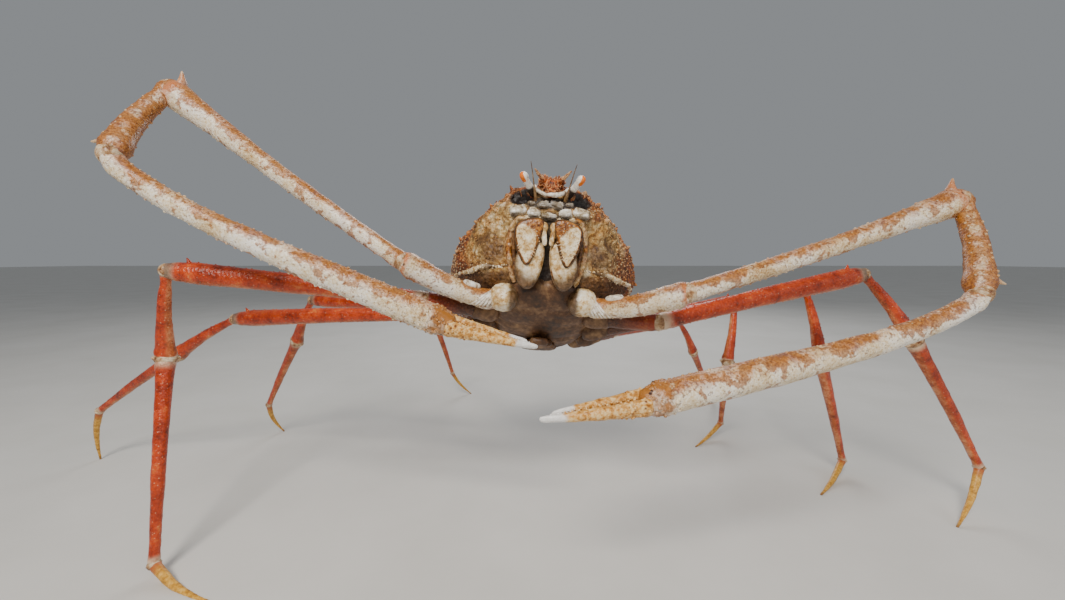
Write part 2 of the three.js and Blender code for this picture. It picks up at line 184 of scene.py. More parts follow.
soft_light("key_light", (-0.4, -2.2, 2.2), (0.1, 0, 0.45), 0.8, 76, (1, 0.95, 0.87))
soft_light("fill_light", (2.4, -1.8, 1.5), (0.1, 0, 0.4), 2.0, 16)
soft_light("rim_light", (0.4, 2.8, 2.4), (0.1, 0, 0.4), 2.2, 55)

world = bpy.data.worlds.new("studio")
bpy.context.scene.world = world
world.use_nodes = True
sky = world.node_tree.nodes["Background"].inputs
sky["Color"].default_value = (0.80, 0.84, 0.88, 1)
sky["Strength"].default_value = 0.32

# %% [markdown]
# Every material is a small graph of nodes, written as sums, products, steps, ramps and mixes of
# values. One function adds a node, sets it and links it, and one turns an sRGB hex colour into the
# linear colour that a shader wants. Patterns read Object coordinates in metres, so a Noise scale of
# 100 has features about 10 mm across.

# %% Node and colour tools


def linear(hex_code):
    """An sRGB hex colour as linear red, green, blue and alpha."""
    parts = [int(hex_code[i : i + 2], 16) / 255 for i in (1, 3, 5)]
    return [*(c / 12.92 if c <= 0.04045 else ((c + 0.055) / 1.055) ** 2.4 for c in parts), 1]


def add_node(tree, kind, settings=None, **inputs):
    """Adds a node. Settings are its properties, and inputs are numbers, hex colours or values."""
    node = tree.nodes.new(kind)
    for key, value in (settings or {}).items():
        setattr(node, key, value)
    for key, value in inputs.items():
        socket = node.inputs[int(key[1:]) if key[1:].isdigit() else key]
        if isinstance(value, Value):
            tree.links.new(value.socket, socket)
        else:
            socket.default_value = linear(value) if isinstance(value, str) else value
    return node


class Value:
    """What a node puts out. A sum or product of values is a node too."""

    def __init__(self, node, output=0):
        self.tree, self.socket = node.id_data, node.outputs[output]

    def joined(self, operation, other):
        settings = {"operation": operation}
        return Value(add_node(self.tree, "ShaderNodeMath", settings, _0=self, _1=other))

    def __add__(self, other):
        return self.joined("ADD", other)

    def __sub__(self, number):
        return self.joined("ADD", -number)

    def __mul__(self, other):
        return self.joined("MULTIPLY", other)


def ramp(factor, *stops):
    """A colour ramp through (position, hex colour) stops."""
    node = add_node(factor.tree, "ShaderNodeValToRGB", Fac=factor)
    elements = node.color_ramp.elements
    while len(elements) < len(stops):
        elements.new(0.5)
    for element, (position, colour) in zip(elements, stops):
        element.position = position
        element.color = linear(colour)
    return Value(node)


def step(factor, low, high, to_low=0.0, to_high=1.0):
    """A soft step: factor between low and high becomes a value between to_low and to_high."""
    settings = {"interpolation_type": "SMOOTHSTEP"}
    return Value(add_node(factor.tree, "ShaderNodeMapRange", settings,
                          Value=factor, _1=low, _2=high, _3=to_low, _4=to_high))


def mix(factor, first, second):
    settings = {"data_type": "RGBA", "blend_type": "MIX"}
    return Value(add_node(factor.tree, "ShaderNodeMix", settings, _0=factor, _6=first, _7=second), 2)


class Shell:
    """A material in the making, with the patterns and stored numbers that it can read."""

    def __init__(self, name, roughness):
        self.material = bpy.data.materials.new(name)
        self.material.use_nodes = True
        self.tree = self.material.node_tree
        self.sockets = self.tree.nodes["Principled BSDF"].inputs
        self.sockets["Roughness"].default_value = roughness

    def let_light_in(self, weight):
        self.sockets["Subsurface Weight"].default_value = weight
        self.sockets["Subsurface Radius"].default_value = (0.004, 0.003, 0.002)

    def stored(self, *names):
        """Numbers stored on the points of the mesh."""
        return [Value(add_node(self.tree, "ShaderNodeAttribute", {"attribute_name": name}), "Fac")
                for name in names]

    def pattern(self, kind, **inputs):
        place = Value(add_node(self.tree, "ShaderNodeTexCoord"), "Object")
        return Value(add_node(self.tree, kind, Vector=place, **inputs))

    def spots(self, scale, detail=4, roughness=0.6):
        """Noise with features of about one metre over scale."""
        return self.pattern("ShaderNodeTexNoise", Scale=scale, Detail=detail, Roughness=roughness)

    def grains(self, scale):
        """Distance from the middle of each grain of a cellular pattern."""
        return self.pattern("ShaderNodeTexVoronoi", Scale=scale)

    def coated(self, colour, height=None, depth=0.0, strength=1.0):
        """The material, with its colour and its bumps linked to the shader."""
        self.tree.links.new(colour.socket, self.sockets["Base Color"])
        if height:
            bumps = add_node(self.tree, "ShaderNodeBump", Height=height, Distance=depth,
                             Strength=strength)
            self.tree.links.new(bumps.outputs["Normal"], self.sockets["Normal"])
        return self.material


# %% [markdown]
# The shell of the arms is the same chitin all over, but what lives in and on it isn't. The upper
# margin carries rust-brown stipple 3 to 8 mm across, thinning to a cream flank. Three numbers are
# stored on the points: "upper", from -1 below to 1 above, "along", from 0 at the first joint to 1
# at the second, and "grain", 1 on the tip of a tubercle. Noise breaks up every edge.

# %% Shell of the claw arms: arm, palm and wrist


def mottled_shell(name, ruddy, end_colour, ends_from, ends_to=1.3):
    """Cream shell, tinted ochre and stippled brown towards its upper margin, more so if ruddier."""
    shell = Shell(name, 0.34)
    upper, along, grain = shell.stored("upper", "along", "grain")
    speck = shell.spots(230, 3)
    broad = shell.spots(60)
    fine = shell.spots(330, 3, 0.7)
    cream = ramp(shell.spots(13) * 0.6 + fine * 0.4,
                 (0.35, "#AC8450"), (0.44, "#DEC69C"), (0.53, "#F4EBDA"), (0.65, "#FDFBF7"))
    margin = step(upper, -0.35, 0.9) + step(upper, -0.55, -1.0, 0.0, 0.55)
    warm = margin + (shell.spots(26, 5) - 0.5) * 2.6 + ruddy
    ochre = ramp(broad, (0.36, "#8E4410"), (0.5, "#C87A2C"), (0.66, "#E2A860"))
    coat = mix(step(warm, 0.35, 1.25, 0.0, 0.86), cream, ochre)
    coat = mix(step(speck + warm * 0.10, 0.60, 0.66) * 0.62, coat, "#6A360E")
    patch = ramp(fine, (0.38, "#6A3208"), (0.6, "#B4701F"))
    coat = mix(step(broad + warm * 0.12, 0.58, 0.65) * 0.78, coat, patch)
    far_end = step(along, ends_from, ends_from + 0.05) * step(along, ends_to, ends_to - 0.03)
    ends = far_end + step(along, 0.03, 0.0, 0.0, 0.3)
    coat = mix(ends * step(broad, 0.36, 0.54, 0.30, 0.85), coat, end_colour)
    coat = mix(step(shell.grains(85), 0.26, 0.14) * (ends * 0.9 + 0.08), coat, "#3A1806")
    coat = mix(grain * step(ends, 0.5, 0.0, 0.1, 0.5), coat, "#F0DCB4")
    return shell.coated(coat, shell.grains(260) + fine * 1.2, 0.0010, 0.45)


claw_shell = mottled_shell("claw_arm_shell", 0.08, "#C4703E", 0.93, 1.0)
palm_shell = mottled_shell("claw_palm_shell", 0.05, "#A4661E", 0.925)
wrist_shell = mottled_shell("claw_wrist_shell", 0.85, "#C8742E", 1.2, 1.4)

# %% [markdown]
# The fingers are ochre where the palm ends and turn to plain white, hard and smooth, over the last
# fifth, where the pigmented outer layer is rubbed away.

# %% Shell of the fingers
shell = Shell("claw_finger_shell", 0.32)
[along] = shell.stored("along")
fine = shell.spots(160, 5, 0.7)
ochre = ramp(fine, (0.34, "#94581C"), (0.47, "#CE9240"), (0.60, "#EDCB90"))
white = ramp(fine, (0.3, "#DCD8D4"), (0.7, "#F8F7F5"))
coat = mix(step(along + shell.spots(60) * 0.16, 0.84, 0.90), ochre, white)
freckle = step(shell.grains(110), 0.26, 0.12) * step(along, 0.50, 0.05)
coat = mix(freckle * 0.85, coat, "#5A260C")
finger_shell = shell.coated(coat, shell.grains(230) + fine, 0.0008, 0.4)

# %% [markdown]
# The walking legs are orange-red, deepest on the long merus, with a paler streak along the lower
# edge and pale sand about each joint, where the shell thins and folds into the joint skin. Where a
# leg leaves the dark underside, and in the crease at the end of each merus, painted shade darkens
# it to brown.

# %% Shell of the walking legs
shell = Shell("walking_leg_shell", 0.30)
upper, along, dusk = shell.stored("upper", "along", "dusk")
blotch = shell.spots(40, 5, 0.62)
fine = shell.spots(240, 4, 0.7)
tone = blotch * 0.65 + fine * 0.35
red = ramp(tone, (0.34, "#561A06"), (0.44, "#9C2E06"), (0.56, "#C4420C"), (0.68, "#D97A34"))
flank = ramp(tone, (0.38, "#7A3310"), (0.50, "#B8602A"), (0.64, "#D9A070"))
coat = mix(step(upper + fine * 0.9, -0.05, -0.45) * 0.8, red, flank)
coat = mix(step(shell.grains(150), 0.20, 0.08, 0.0, 0.45), coat, "#E9BC94")
ends = step(along, 0.945, 0.985) + step(along, 0.070, 0.015)
coat = mix(ends * step(blotch, 0.36, 0.54, 0.4, 0.9), coat, "#DAC4A4")
# Painted shade: dark brown near the body and in the crease at each knee.
coat = mix(dusk, coat, ramp(fine, (0.36, "#2A1208"), (0.6, "#64381C")))
leg_shell = shell.coated(coat, shell.grains(260) + fine, 0.0012, 0.6)

# %% Horny tips of the walking legs
shell = Shell("dactyl_horn", 0.40)
[along] = shell.stored("along")
fine = shell.spots(170, 5, 0.7)
ochre = ramp(fine, (0.34, "#A06A1C"), (0.5, "#D0962E"), (0.66, "#E8BC60"))
coat = mix(step(along, 0.90, 1.0), ochre, "#96682C")
coat = mix(step(along, 0.22, 0.02), coat, "#B0562A")
foot_horn = shell.coated(coat, fine, 0.0006, 0.5)

# %% [markdown]
# Joint skin is soft chitin without lime. It is pale, folded and a little translucent, so it gets
# a touch of subsurface light and a waxy gloss.

# %% Joint skin
shell = Shell("joint_skin", 0.34)
shell.let_light_in(0.15)
coat = ramp(shell.spots(90, 5), (0.34, "#6E3E1E"), (0.48, "#B08A60"), (0.66, "#E0CFB2"))
joint_skin = shell.coated(coat, shell.spots(180, 3), 0.0014, 0.6)

# %% White folded skin at the root of each claw arm
shell = Shell("folded_membrane", 0.3)
shell.let_light_in(0.1)
coat = ramp(shell.spots(120), (0.36, "#9C8468"), (0.5, "#E4DACA"), (0.66, "#FBF8F2"))
fold_skin = shell.coated(coat, shell.spots(200, 3), 0.0008, 0.5)

# %% [markdown]
# The carapace is the roughest shell of all. It is covered with grains 2 to 5 mm across, brown in
# the hollows between them and worn to cream on each grain's top. Its "front" is paler. Painted
# shade darkens its underside and the pits and hollow walls of its cheeks, and each "hollow", such
# as an eye's socket, is painted nearly black as shade.

# %% Shell of the carapace
shell = Shell("carapace_shell", 0.5)
front, hollow, grain, dusk = shell.stored("front", "hollow", "grain", "dusk")
blotch = shell.spots(16, 6, 0.65)
fine = shell.spots(130, 5, 0.75)
cell = shell.grains(150)
brown = ramp(fine, (0.34, "#2E1408"), (0.47, "#6E3612"), (0.58, "#A05C22"), (0.72, "#C89454"))
ruddy = ramp(fine, (0.34, "#4A1C08"), (0.47, "#963E10"), (0.60, "#C4702A"))
stone = ramp(fine * 0.5 + shell.spots(38) * 0.5,
             (0.37, "#4E3014"), (0.45, "#96703A"), (0.52, "#CBAA70"), (0.61, "#F2E4C4"))
golden = ramp(fine, (0.38, "#6A3C10"), (0.50, "#B97E2C"), (0.62, "#E6BC70"))
stone = mix(step(shell.spots(22, 3), 0.48, 0.60, 0.0, 0.8), stone, golden)
coat = mix(step(blotch, 0.46, 0.58), brown, ruddy)
coat = mix(step(front + (blotch - 0.5) * 2.4, 0.25, 0.75), coat, stone)
crevice = step(cell, 0.34, 0.66, 0.0, 0.65) * step(front, 1.0, 0.0, 0.35, 1.0)
coat = mix(crevice, coat, "#2A1408")
coat = mix(grain * 0.72, coat, mix(step(blotch, 0.42, 0.56), "#E2CDA2", "#D08C44"))
shade_brown = ramp(fine, (0.36, "#2A1608"), (0.6, "#6B4826"))
# Painted shade: brown under the lower margin, in each cheek's pit and on the hollow walls beside the
# mouth.
coat = mix(step(dusk, 0.0, 0.75, 0.0, 0.88), coat, shade_brown)
# Painted shade: the eyes' sockets, the frame behind the mouth and the gap under the rostrum are nearly
# black.
coat = mix(hollow, coat, "#1A0E08")
back_shell = shell.coated(coat, cell * -1.5 + fine, 0.0020, 0.7)

# %% Shell of the underside: brown, painted darker as shade
shell = Shell("sternum_shell", 0.5)
tone = shell.spots(26, 6) * 0.6 + shell.spots(120) * 0.4
coat = ramp(tone, (0.36, "#24150A"), (0.5, "#58381E"), (0.64, "#8E6C48"))
under_shell_in_shade = shell.coated(coat, shell.spots(160, 5), 0.0012, 0.6)

# %% [markdown]
# The plates about the mouth are smoother and paler than the back. They are rubbed clean by the
# mouth limbs, so brown stays only along their edges, where "rim" is 1, and in patches of stipple.

# %% Shell of the face
shell = Shell("mouth_plate_shell", 0.34)
rim, grain, dusk = shell.stored("rim", "grain", "dusk")
fine = shell.spots(170, 5, 0.72)
broad = shell.spots(45)
cream = ramp(fine * 0.5 + broad * 0.5,
             (0.37, "#8A5E30"), (0.45, "#C8A266"), (0.53, "#ECDAB6"), (0.64, "#FCF6EA"))
brown = ramp(fine, (0.36, "#2C1406"), (0.48, "#7A420E"), (0.62, "#BE8034"))
coat = mix(step(rim + (broad - 0.5) * 1.3, 0.58, 0.92), cream, brown)
coat = mix(grain * 0.5, coat, "#F4E6C6")
# Painted shade: dark brown where parts of the face lie in shade.
shade_brown = ramp(fine, (0.36, "#2E1A0A"), (0.62, "#6E4C2A"))
coat = mix(step(dusk, 0.0, 0.7, 0.0, 0.94), coat, shade_brown)
face_shell = shell.coated(coat, shell.grains(280) + fine, 0.0010, 0.45)

# %% Greyer shell of the antennal plates: grey as painted shade, and darker with it towards their feet
shell = Shell("antennal_plate_shell", 0.3)
[dusk] = shell.stored("dusk")
tone = shell.spots(60) * 0.6 + shell.spots(210) * 0.4
grey = ramp(tone, (0.36, "#5A4630"), (0.45, "#A89678"), (0.53, "#DDD3C0"), (0.62, "#F8F4EC"))
plate_shell = shell.coated(mix(dusk, grey, "#3A2412"), tone, 0.0010, 0.5)

# %% Eyes: white stalk and glossy orange cornea
shell = Shell("eye_stalk_and_cornea", 0.12)
cornea, dusk = shell.stored("cornea", "dusk")
stalk = ramp(shell.spots(220), (0.3, "#E2D2B8"), (0.55, "#FFFBF4"))
coat = mix(step(cornea, 0.3, 0.6), stalk, "#EE7A10")
# Painted shade: the foot of each stalk is dark, down in its socket.
eye_shell = shell.coated(mix(dusk, coat, "#2A180C"))

# %% Bristly shell of the rostrum
shell = Shell("rostrum_shell", 0.55)
[grain] = shell.stored("grain")
fine = shell.spots(150, 6, 0.75)
coat = ramp(fine, (0.36, "#2A1006"), (0.46, "#7E320C"), (0.56, "#C0601C"), (0.70, "#E2A866"))
coat = mix(grain * step(fine, 0.44, 0.56, 0.1, 0.8), coat, "#EBC896")
rostrum_shell = shell.coated(coat, fine, 0.0014, 0.8)

# %% Floor paint
shell = Shell("pale_floor_paint", 0.8)
pale_floor = shell.coated(ramp(shell.spots(3), (0.3, "#CFCDC8"), (0.7, "#D8D6D2")))
floor.data.materials.append(pale_floor)
print("materials:", len(bpy.data.materials))

# %% [markdown]
# The trunk has a frame of its own: x to the crab's left, y to its rear, z to its back. One matrix
# lifts its front, rolls it a little and turns it, so all that belongs to the trunk is made upright
# and level first and then settled with that matrix.

# %% The trunk's frame and the shape of the carapace
STAND = Vector((95, -232, 0))
TRUNK = (
    Matrix.Translation((STAND + Vector((20, 0, 467))) * MM)
    @ Matrix.Rotation(math.radians(3), 4, "Z")
    @ Matrix.Rotation(math.radians(-35.6), 4, "X")
    @ Matrix.Rotation(math.radians(5), 4, "Y")
)
untrunk = TRUNK.inverted()
CARAPACE_FRONT = -172
CARAPACE_LENGTH = 355
HALF_WIDTHS = [92, 111, 133, 155, 169, 177, 176, 162, 140]
MIDDLE_LEVELS = [28, 24, 14, 8, 8, 8, 6, 4, 0]
TOP_HEIGHTS = [50, 58, 74, 84, 86, 88, 86, 76, 66]
UNDER_DEPTHS = [38, 80, 108, 104, 80, 70, 66, 64, 60]
REGIONS = [
    (0, -60, 42, 50, 12), (0, 55, 34, 34, 10), (0, 122, 26, 26, 6),
    (84, 30, 46, 66, 14), (-84, 30, 46, 66, 14), (62, -82, 22, 26, 6), (-62, -82, 22, 26, 6),
]
SHELL_CORNERS = 0.85


def soft(value, corners):
    """Squares a circle's sines and cosines towards a box."""
    return math.copysign(abs(value) ** corners, value)


def along_curve(values, t):
    """A smooth curve through evenly spaced values, read at a fraction of its length."""
    place = min(max(t, 0), 1) * (len(values) - 1)
    i = min(int(place), len(values) - 2)
    w = place - i
    p = [values[min(max(k, 0), len(values) - 1)] for k in (i - 1, i, i + 1, i + 2)]
    bend = 2 * p[0] - 5 * p[1] + 4 * p[2] - p[3]
    twist = 3 * (p[1] - p[2]) + p[3] - p[0]
    return 0.5 * (2 * p[1] + (p[2] - p[0]) * w + bend * w * w + twist * w ** 3)


def eased_path(path, count):
    """A smooth curve through places, as one more place than count."""
    return [[along_curve([p[k] for p in path], i / count) for k in range(3)]
            for i in range(count + 1)]


def swelling(x, y):
    return sum(rise * math.exp(-(((x - cx) / rx) ** 2) - ((y - cy) / ry) ** 2)
               for cx, cy, rx, ry, rise in REGIONS)


def carapace_point(ball):
    """Where a point of a unit ball goes on the carapace's skin, in millimetres."""
    t = (1 + ball.y) / 2
    ring = math.hypot(ball.x, ball.z) or 1e-9
    across, high = ball.x / ring, ball.z / ring
    reach = max(0, 1 - ball.y ** 2) ** 0.25
    x = soft(across, SHELL_CORNERS) * reach * along_curve(HALF_WIDTHS, t)
    tall = along_curve(TOP_HEIGHTS if high > 0 else UNDER_DEPTHS, t)
    z = along_curve(MIDDLE_LEVELS, t) + soft(high, SHELL_CORNERS) * reach * tall
    y = CARAPACE_FRONT + CARAPACE_LENGTH * t
    return Vector((x, y, z + max(0, high) * reach * (swelling(x, y) - 5)))


# %% [markdown]
# The carapace starts as a ball with many rings. Each of its points is moved to where the shell's
# cross-section puts it, so the shell has the same outline as the solid. Then the sockets of the
# eyes are pressed in, and cloudy noise swells and dents the whole shell by a few millimetres. Each
# dent is (axis, middle, reach, depth): it pushes along y or z or, with no axis, out from the ball.

# %% Carapace
DENTS = [
    (1, (43, -166, 26), (20, 18, 12), 20),
    (1, (62, -128, -34), (14, 20, 16), 8),
    (2, (60, -155, 40), (10, 14, 10), 7),
    (None, (96, -96, 20), (26, 26, 22), 7),
    (None, (112, -40, 40), (14, 60, 16), -5),
    (None, (78, -112, -16), (20, 30, 24), -8),
    (None, (100, -80, -34), (14, 30, 26), 5),
    (None, (84, -110, 14), (18, 24, 8), 5),
    (None, (107, -104, -9), (13, 24, 10), -7),
    (None, (88, -112, -12), (9, 24, 12), 5),
]


def press(point, middle, radii, depth):
    """How far a point near an egg-shaped place is pushed, in millimetres."""
    away = sum(((p - m) / r) ** 2 for p, m, r in zip(point, middle, radii))
    return depth * math.exp(-away)


def lumps(point, size, height, seed=0):
    return height * noise.fractal(Vector(point) / size + Vector((seed, 0, 0)), 0.7, 2.1, 4)


carapace = unit_ball("carapace_shell", 144, 96)
for vertex in carapace.data.vertices:
    out = vertex.co.normalized()
    p = carapace_point(out)
    for side in (-1, 1):
        for axis, (x, y, z), radii, depth in DENTS:
            pushed = press(p, (side * x, y, z), radii, depth)
            if axis is None:
                p += out * pushed
            else:
                p[axis] += pushed
    p += out * lumps(p, 34, 2.6)
    p += out * lumps(p, 11, 1.5, 7)
    vertex.co = p * MM
print("carapace points:", len(carapace.data.vertices))

# %% [markdown]
# Each tubercle of a crab's shell is a low blunt cone. One small dome is modelled, from a ball whose
# lower half is cut away, and its copies are laid on the shell in code, because thousands of copies
# made with an operator would take minutes. Each has only a few dozen faces.

# %% One tubercle, and a function that sows copies of it
deselect()
bpy.ops.mesh.primitive_uv_sphere_add(segments=8, ring_count=7, radius=1)
dome = bpy.context.object
with editing():
    bpy.ops.mesh.bisect(plane_co=(0, 0, -0.35), plane_no=(0, 0, 1), clear_inner=True, use_fill=True)
DOME_POINTS = [v.co.copy() for v in dome.data.vertices]
DOME_FACES = [tuple(p.vertices) for p in dome.data.polygons]
bpy.data.objects.remove(dome)
print("faces of one tubercle:", len(DOME_FACES))


def frame_along(origin, direction, toward=UP):
    """A frame with y along a direction and z as near to a wanted direction as it can be."""
    y = Vector(direction).normalized()
    z = Vector(toward) - y * y.dot(toward)
    z = z.normalized() if z.length > 1e-6 else y.orthogonal().normalized()
    rows = zip(y.cross(z), y, z, origin)
    return Matrix((*rows, (0, 0, 0, 1)))


def sow(name, places, sharpness=1.0):
    """Joined copies of the tubercle, one for each (root, outward, height, radius) of places."""
    points, faces, tips = [], [], []
    for root, outward, height, radius in places:
        stand = frame_along(root, outward, Vector((0.3, 0.2, 1)))
        first = len(points)
        for p in DOME_POINTS:
            taper = (1 - max(0, p.z)) ** (0.5 * (sharpness - 1)) if sharpness > 1 else 1
            spot = Vector((p.x * radius * taper, p.z * height, -p.y * radius * taper))
            points.append(stand @ spot)
            tips.append(max(0, p.z))
        faces += [tuple(first + i for i in face) for face in DOME_FACES]
    mesh = bpy.data.meshes.new(name)
    mesh.from_pydata(points, [], faces)
    mesh.attributes.new("grain", "FLOAT", "POINT").data.foreach_set("value", tips)
    return add_object(name, mesh)


def paint_points(piece, name, value_of, first=0):
    """Stores one number on each point from the first on, which a material can read."""
    attributes = piece.data.attributes
    values = attributes.get(name) or attributes.new(name, "FLOAT", "POINT")
    for vertex in list(piece.data.vertices)[first:]:
        values.data[vertex.index].value = value_of(vertex.co)


# %% [markdown]
# The carapace carries tubercles of two sizes: about a hundred large ones, which stand where the
# solid model has them, on a spiral of 137.5 degrees as seeds lie in a sunflower, and some thousands
# of grains between them. Both are set on the pressed and swollen shell, so the nearest point is
# asked.

# %% Tubercles and grains of the carapace
TUBERCLE_SPIRAL = 205
GRAIN_SPIRAL = 6200
SEED_TURN = 137.5
CHEEKS_FRONT = -0.03
FACE_FRONT = -0.12


def spiral(count, lowest):
    """Evenly spread directions on a unit ball, along its y axis, above a height."""
    for i in range(count):
        y = 1 - (2 * i + 1) / count
        ring = math.sqrt(1 - y * y)
        turn = math.radians(i * SEED_TURN)
        ball = Vector((ring * math.cos(turn), y, ring * math.sin(turn)))
        if ball.z > lowest and abs(y) < 0.93:
            yield i, ball


def on_shell(ball):
    return nearest(carapace, carapace_point(ball) * MM)


def margin_level(x):
    """How high the carapace's lower margin lies, this far from the midline, in millimetres."""
    return -63 + 33 * (max(0, abs(x) - 54) / 101) ** 2.2


def in_shade(place):
    """Painted shade on the underside below the lower margin."""
    return clamp((margin_level(place.x / MM) - 2 - place.z / MM) / 9)


def away_from(place, x, z, wide, tall, x_power=2, z_power=2):
    """0 in the middle of a spot of the face and 1 at its edge."""
    return ((abs(place.x) / MM - x) / wide) ** x_power + ((place.z / MM - z) / tall) ** z_power


def in_orbit(place):
    """1 in the socket of an eye, falling to 0 outside it."""
    return clamp(2.6 - 2 * away_from(place, 44, 28, 21, 14)) if place.y < FACE_FRONT else 0


def in_brow(place):
    """The hollow between the antennal plates and the rostrum, painted dark as shade."""
    away = away_from(place, 0, 13, 42, 10, 4)
    return clamp(2.2 - 2 * away, 0.95) if place.y < FACE_FRONT else 0


def in_pit(place):
    """A dent in the middle of each cheek, darkened with painted shade."""
    away = away_from(place, 104, -16, 14, 11)
    return math.exp(-away) if place.y < CHEEKS_FRONT else 0


def in_cheek(place):
    """The smoother hollow wall between the frame of the mouth and the grainy flank."""
    return place.y < CHEEKS_FRONT and away_from(place, 76, -18, 26, 34) < 1


def cheek_shade(place):
    """How much painted shade browns the hollow wall beside the mouth."""
    away = away_from(place, 84, -40, 26, 22)
    return 0.62 * math.exp(-away ** 2) if place.y < CHEEKS_FRONT else 0


def in_mouth_frame(place):
    """1 behind the mouth limbs, falling to 0 outside their frame."""
    away = away_from(place, 0, -52, 55, 50, 4, 4)
    return clamp(3 - 2.4 * away, 0.92) if place.y < -0.06 else 0


places = []
for i, ball in spiral(TUBERCLE_SPIRAL, -0.12):
    height, radius = 6.0 + 2.4 * math.sin(i * 1.7), 4.6 + 1.2 * math.sin(i * 2.3)
    places.append((*on_shell(ball), height * MM, radius * MM))
for i, ball in spiral(GRAIN_SPIRAL, -0.62):
    strayed = ball + Vector([rng.uniform(-0.022, 0.022) for k in range(3)])
    root, outward = on_shell(strayed.normalized())
    if in_orbit(root) > 0.4 or in_mouth_frame(root) > 0.4 or in_pit(root) > 0.5:
        continue
    if in_cheek(root) and rng.random() < 0.75:
        continue
    size = 1.1 + 1.5 * rng.random() ** 2
    places.append((root, outward, size * 0.85 * MM, size * MM))
tubercles = sow("tubercles", places, sharpness=1.6)
carapace = join([carapace, tubercles], "carapace_shell")
paint_points(carapace, "front", lambda p: clamp((-0.03 - p.y) / 0.07) * clamp((0.05 - p.z) / 0.06))
# Painted shade: the eyes' sockets, the frame behind the mouth and the gap under the rostrum are nearly
# black.
paint_points(carapace, "hollow", lambda p: max(in_orbit(p), in_mouth_frame(p), in_brow(p)))
# Painted shade: brown under the lower margin, in each cheek's pit and on the hollow walls beside the
# mouth.
paint_points(carapace, "dusk", lambda p: max(in_shade(p), in_pit(p), cheek_shade(p)))
print("tubercles and grains:", len(places))

# %% [markdown]
# Between the eyes two short horns, the rostrum, point forwards. On an old crab they are worn stubs
# in a bristly brown cushion. Each is grown as a tube: a circle is extruded ring by ring, and each
# ring is resized about its own centre. All the limbs are grown with the same function. A ring is
# (along y, radius), (along y, radius, shift up) or (along y, radius across, radius up, shift up).

# %% Growing a tube ring by ring


def full_ring(y, wide, *rest):
    return (y, wide, *rest) if len(rest) == 2 else (y, wide, wide, *(rest or (0,)))


def grow(name, rings, sides=20):
    """Extrudes a closed tube through rings in millimetres."""
    deselect()
    (y, wide, tall, lift), *others = [full_ring(*ring) for ring in rings]
    bpy.ops.mesh.primitive_circle_add(vertices=sides, radius=1, fill_type="NGON",
                                      rotation=(math.radians(90), 0, 0))
    piece = bpy.context.object
    piece.name = name
    bpy.ops.object.transform_apply(location=False, rotation=True, scale=False)
    with editing():
        bpy.ops.transform.resize(value=(wide * MM, 1, tall * MM), center_override=(0, 0, 0))
        bpy.ops.transform.translate(value=(0, y * MM, lift * MM))
        for following in others:
            move = (0, (following[0] - y) * MM, (following[3] - lift) * MM)
            bpy.ops.mesh.extrude_region_move(TRANSFORM_OT_translate={"value": move})
            size = (following[1] / wide, 1, following[2] / tall)
            y, wide, tall, lift = following
            bpy.ops.transform.resize(value=size, center_override=(0, y * MM, lift * MM))
        turn_outward()
    return piece


def tube(name, places, thickness):
    """A round tube through places in millimetres, as thick as a function of its length says."""
    curve = bpy.data.curves.new(name, "CURVE")
    curve.dimensions = "3D"
    curve.bevel_depth = MM
    curve.bevel_resolution = 2
    curve.use_fill_caps = True
    line = curve.splines.new("POLY")
    line.points.add(len(places) - 1)
    for i, (point, place) in enumerate(zip(line.points, places)):
        point.co = (*(Vector(place) * MM), 1)
        point.radius = thickness(i / (len(places) - 1))
    pick(add_object(name, curve))
    bpy.ops.object.convert(target="MESH")
    with editing():
        bpy.ops.mesh.remove_doubles(threshold=0.01 * MM)
        bpy.ops.mesh.normals_make_consistent(inside=False)
    return bpy.context.object


def finish(piece, material, slot, *replaced):
    """Smooths and paints a piece, lets it ride on the body and stand for CAD nodes."""
    pick(piece)
    bpy.ops.object.shade_smooth()
    piece.data.materials.clear()
    piece.data.materials.append(material)
    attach(piece, "root")
    if replaced:
        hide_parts(*replaced)
    return piece


def rough(piece, size, strength, seed=0):
    """Swells and dents a shell with soft lumps of a size in millimetres."""
    for vertex, normal in [(v, v.normal.copy()) for v in piece.data.vertices]:
        vertex.co += normal * lumps(vertex.co / MM, size, strength, seed) * MM


def rounded_cube(name, cuts, roundness):
    deselect()
    bpy.ops.mesh.primitive_cube_add(size=2)
    piece = bpy.context.object
    piece.name = name
    with editing():
        bpy.ops.mesh.subdivide(number_cuts=cuts)
        bpy.ops.transform.tosphere(value=roundness)
    smooth_over(piece, 2)
    return piece


def turned(degrees, axis):
    return Matrix.Rotation(math.radians(degrees), 4, axis)


def at_place(x, y, z):
    return Matrix.Translation(Vector((x, y, z)) * MM)


def ball_plate(name, place, reach, turn=0.0, rough_by=0.8, roundness=0.7):
    """A small swollen plate: a cube made rounder, subdivided and dented."""
    piece = rounded_cube(name, 2, roundness)
    size = Matrix.Diagonal((*(r * MM for r in reach), 1))
    settle(piece, at_place(*place) @ turned(turn, "Y") @ size)
    rough(piece, 7, rough_by)
    return piece


finish(settle(carapace, TRUNK), back_shell, "shell", "carapace")

# %% Rostral horns and the bristly cushion between them
HORN_ROOT = Vector((7, -173, 48))
HORN_TIP = Vector((28, -210, 38))


def mirrored(side, place):
    return Vector((side * place[0], place[1], place[2]))


def between(first, last):
    """A frame at the first of two places of the trunk, in millimetres, with y to the second."""
    return frame_along(Vector(first) * MM, Vector(last) - Vector(first))


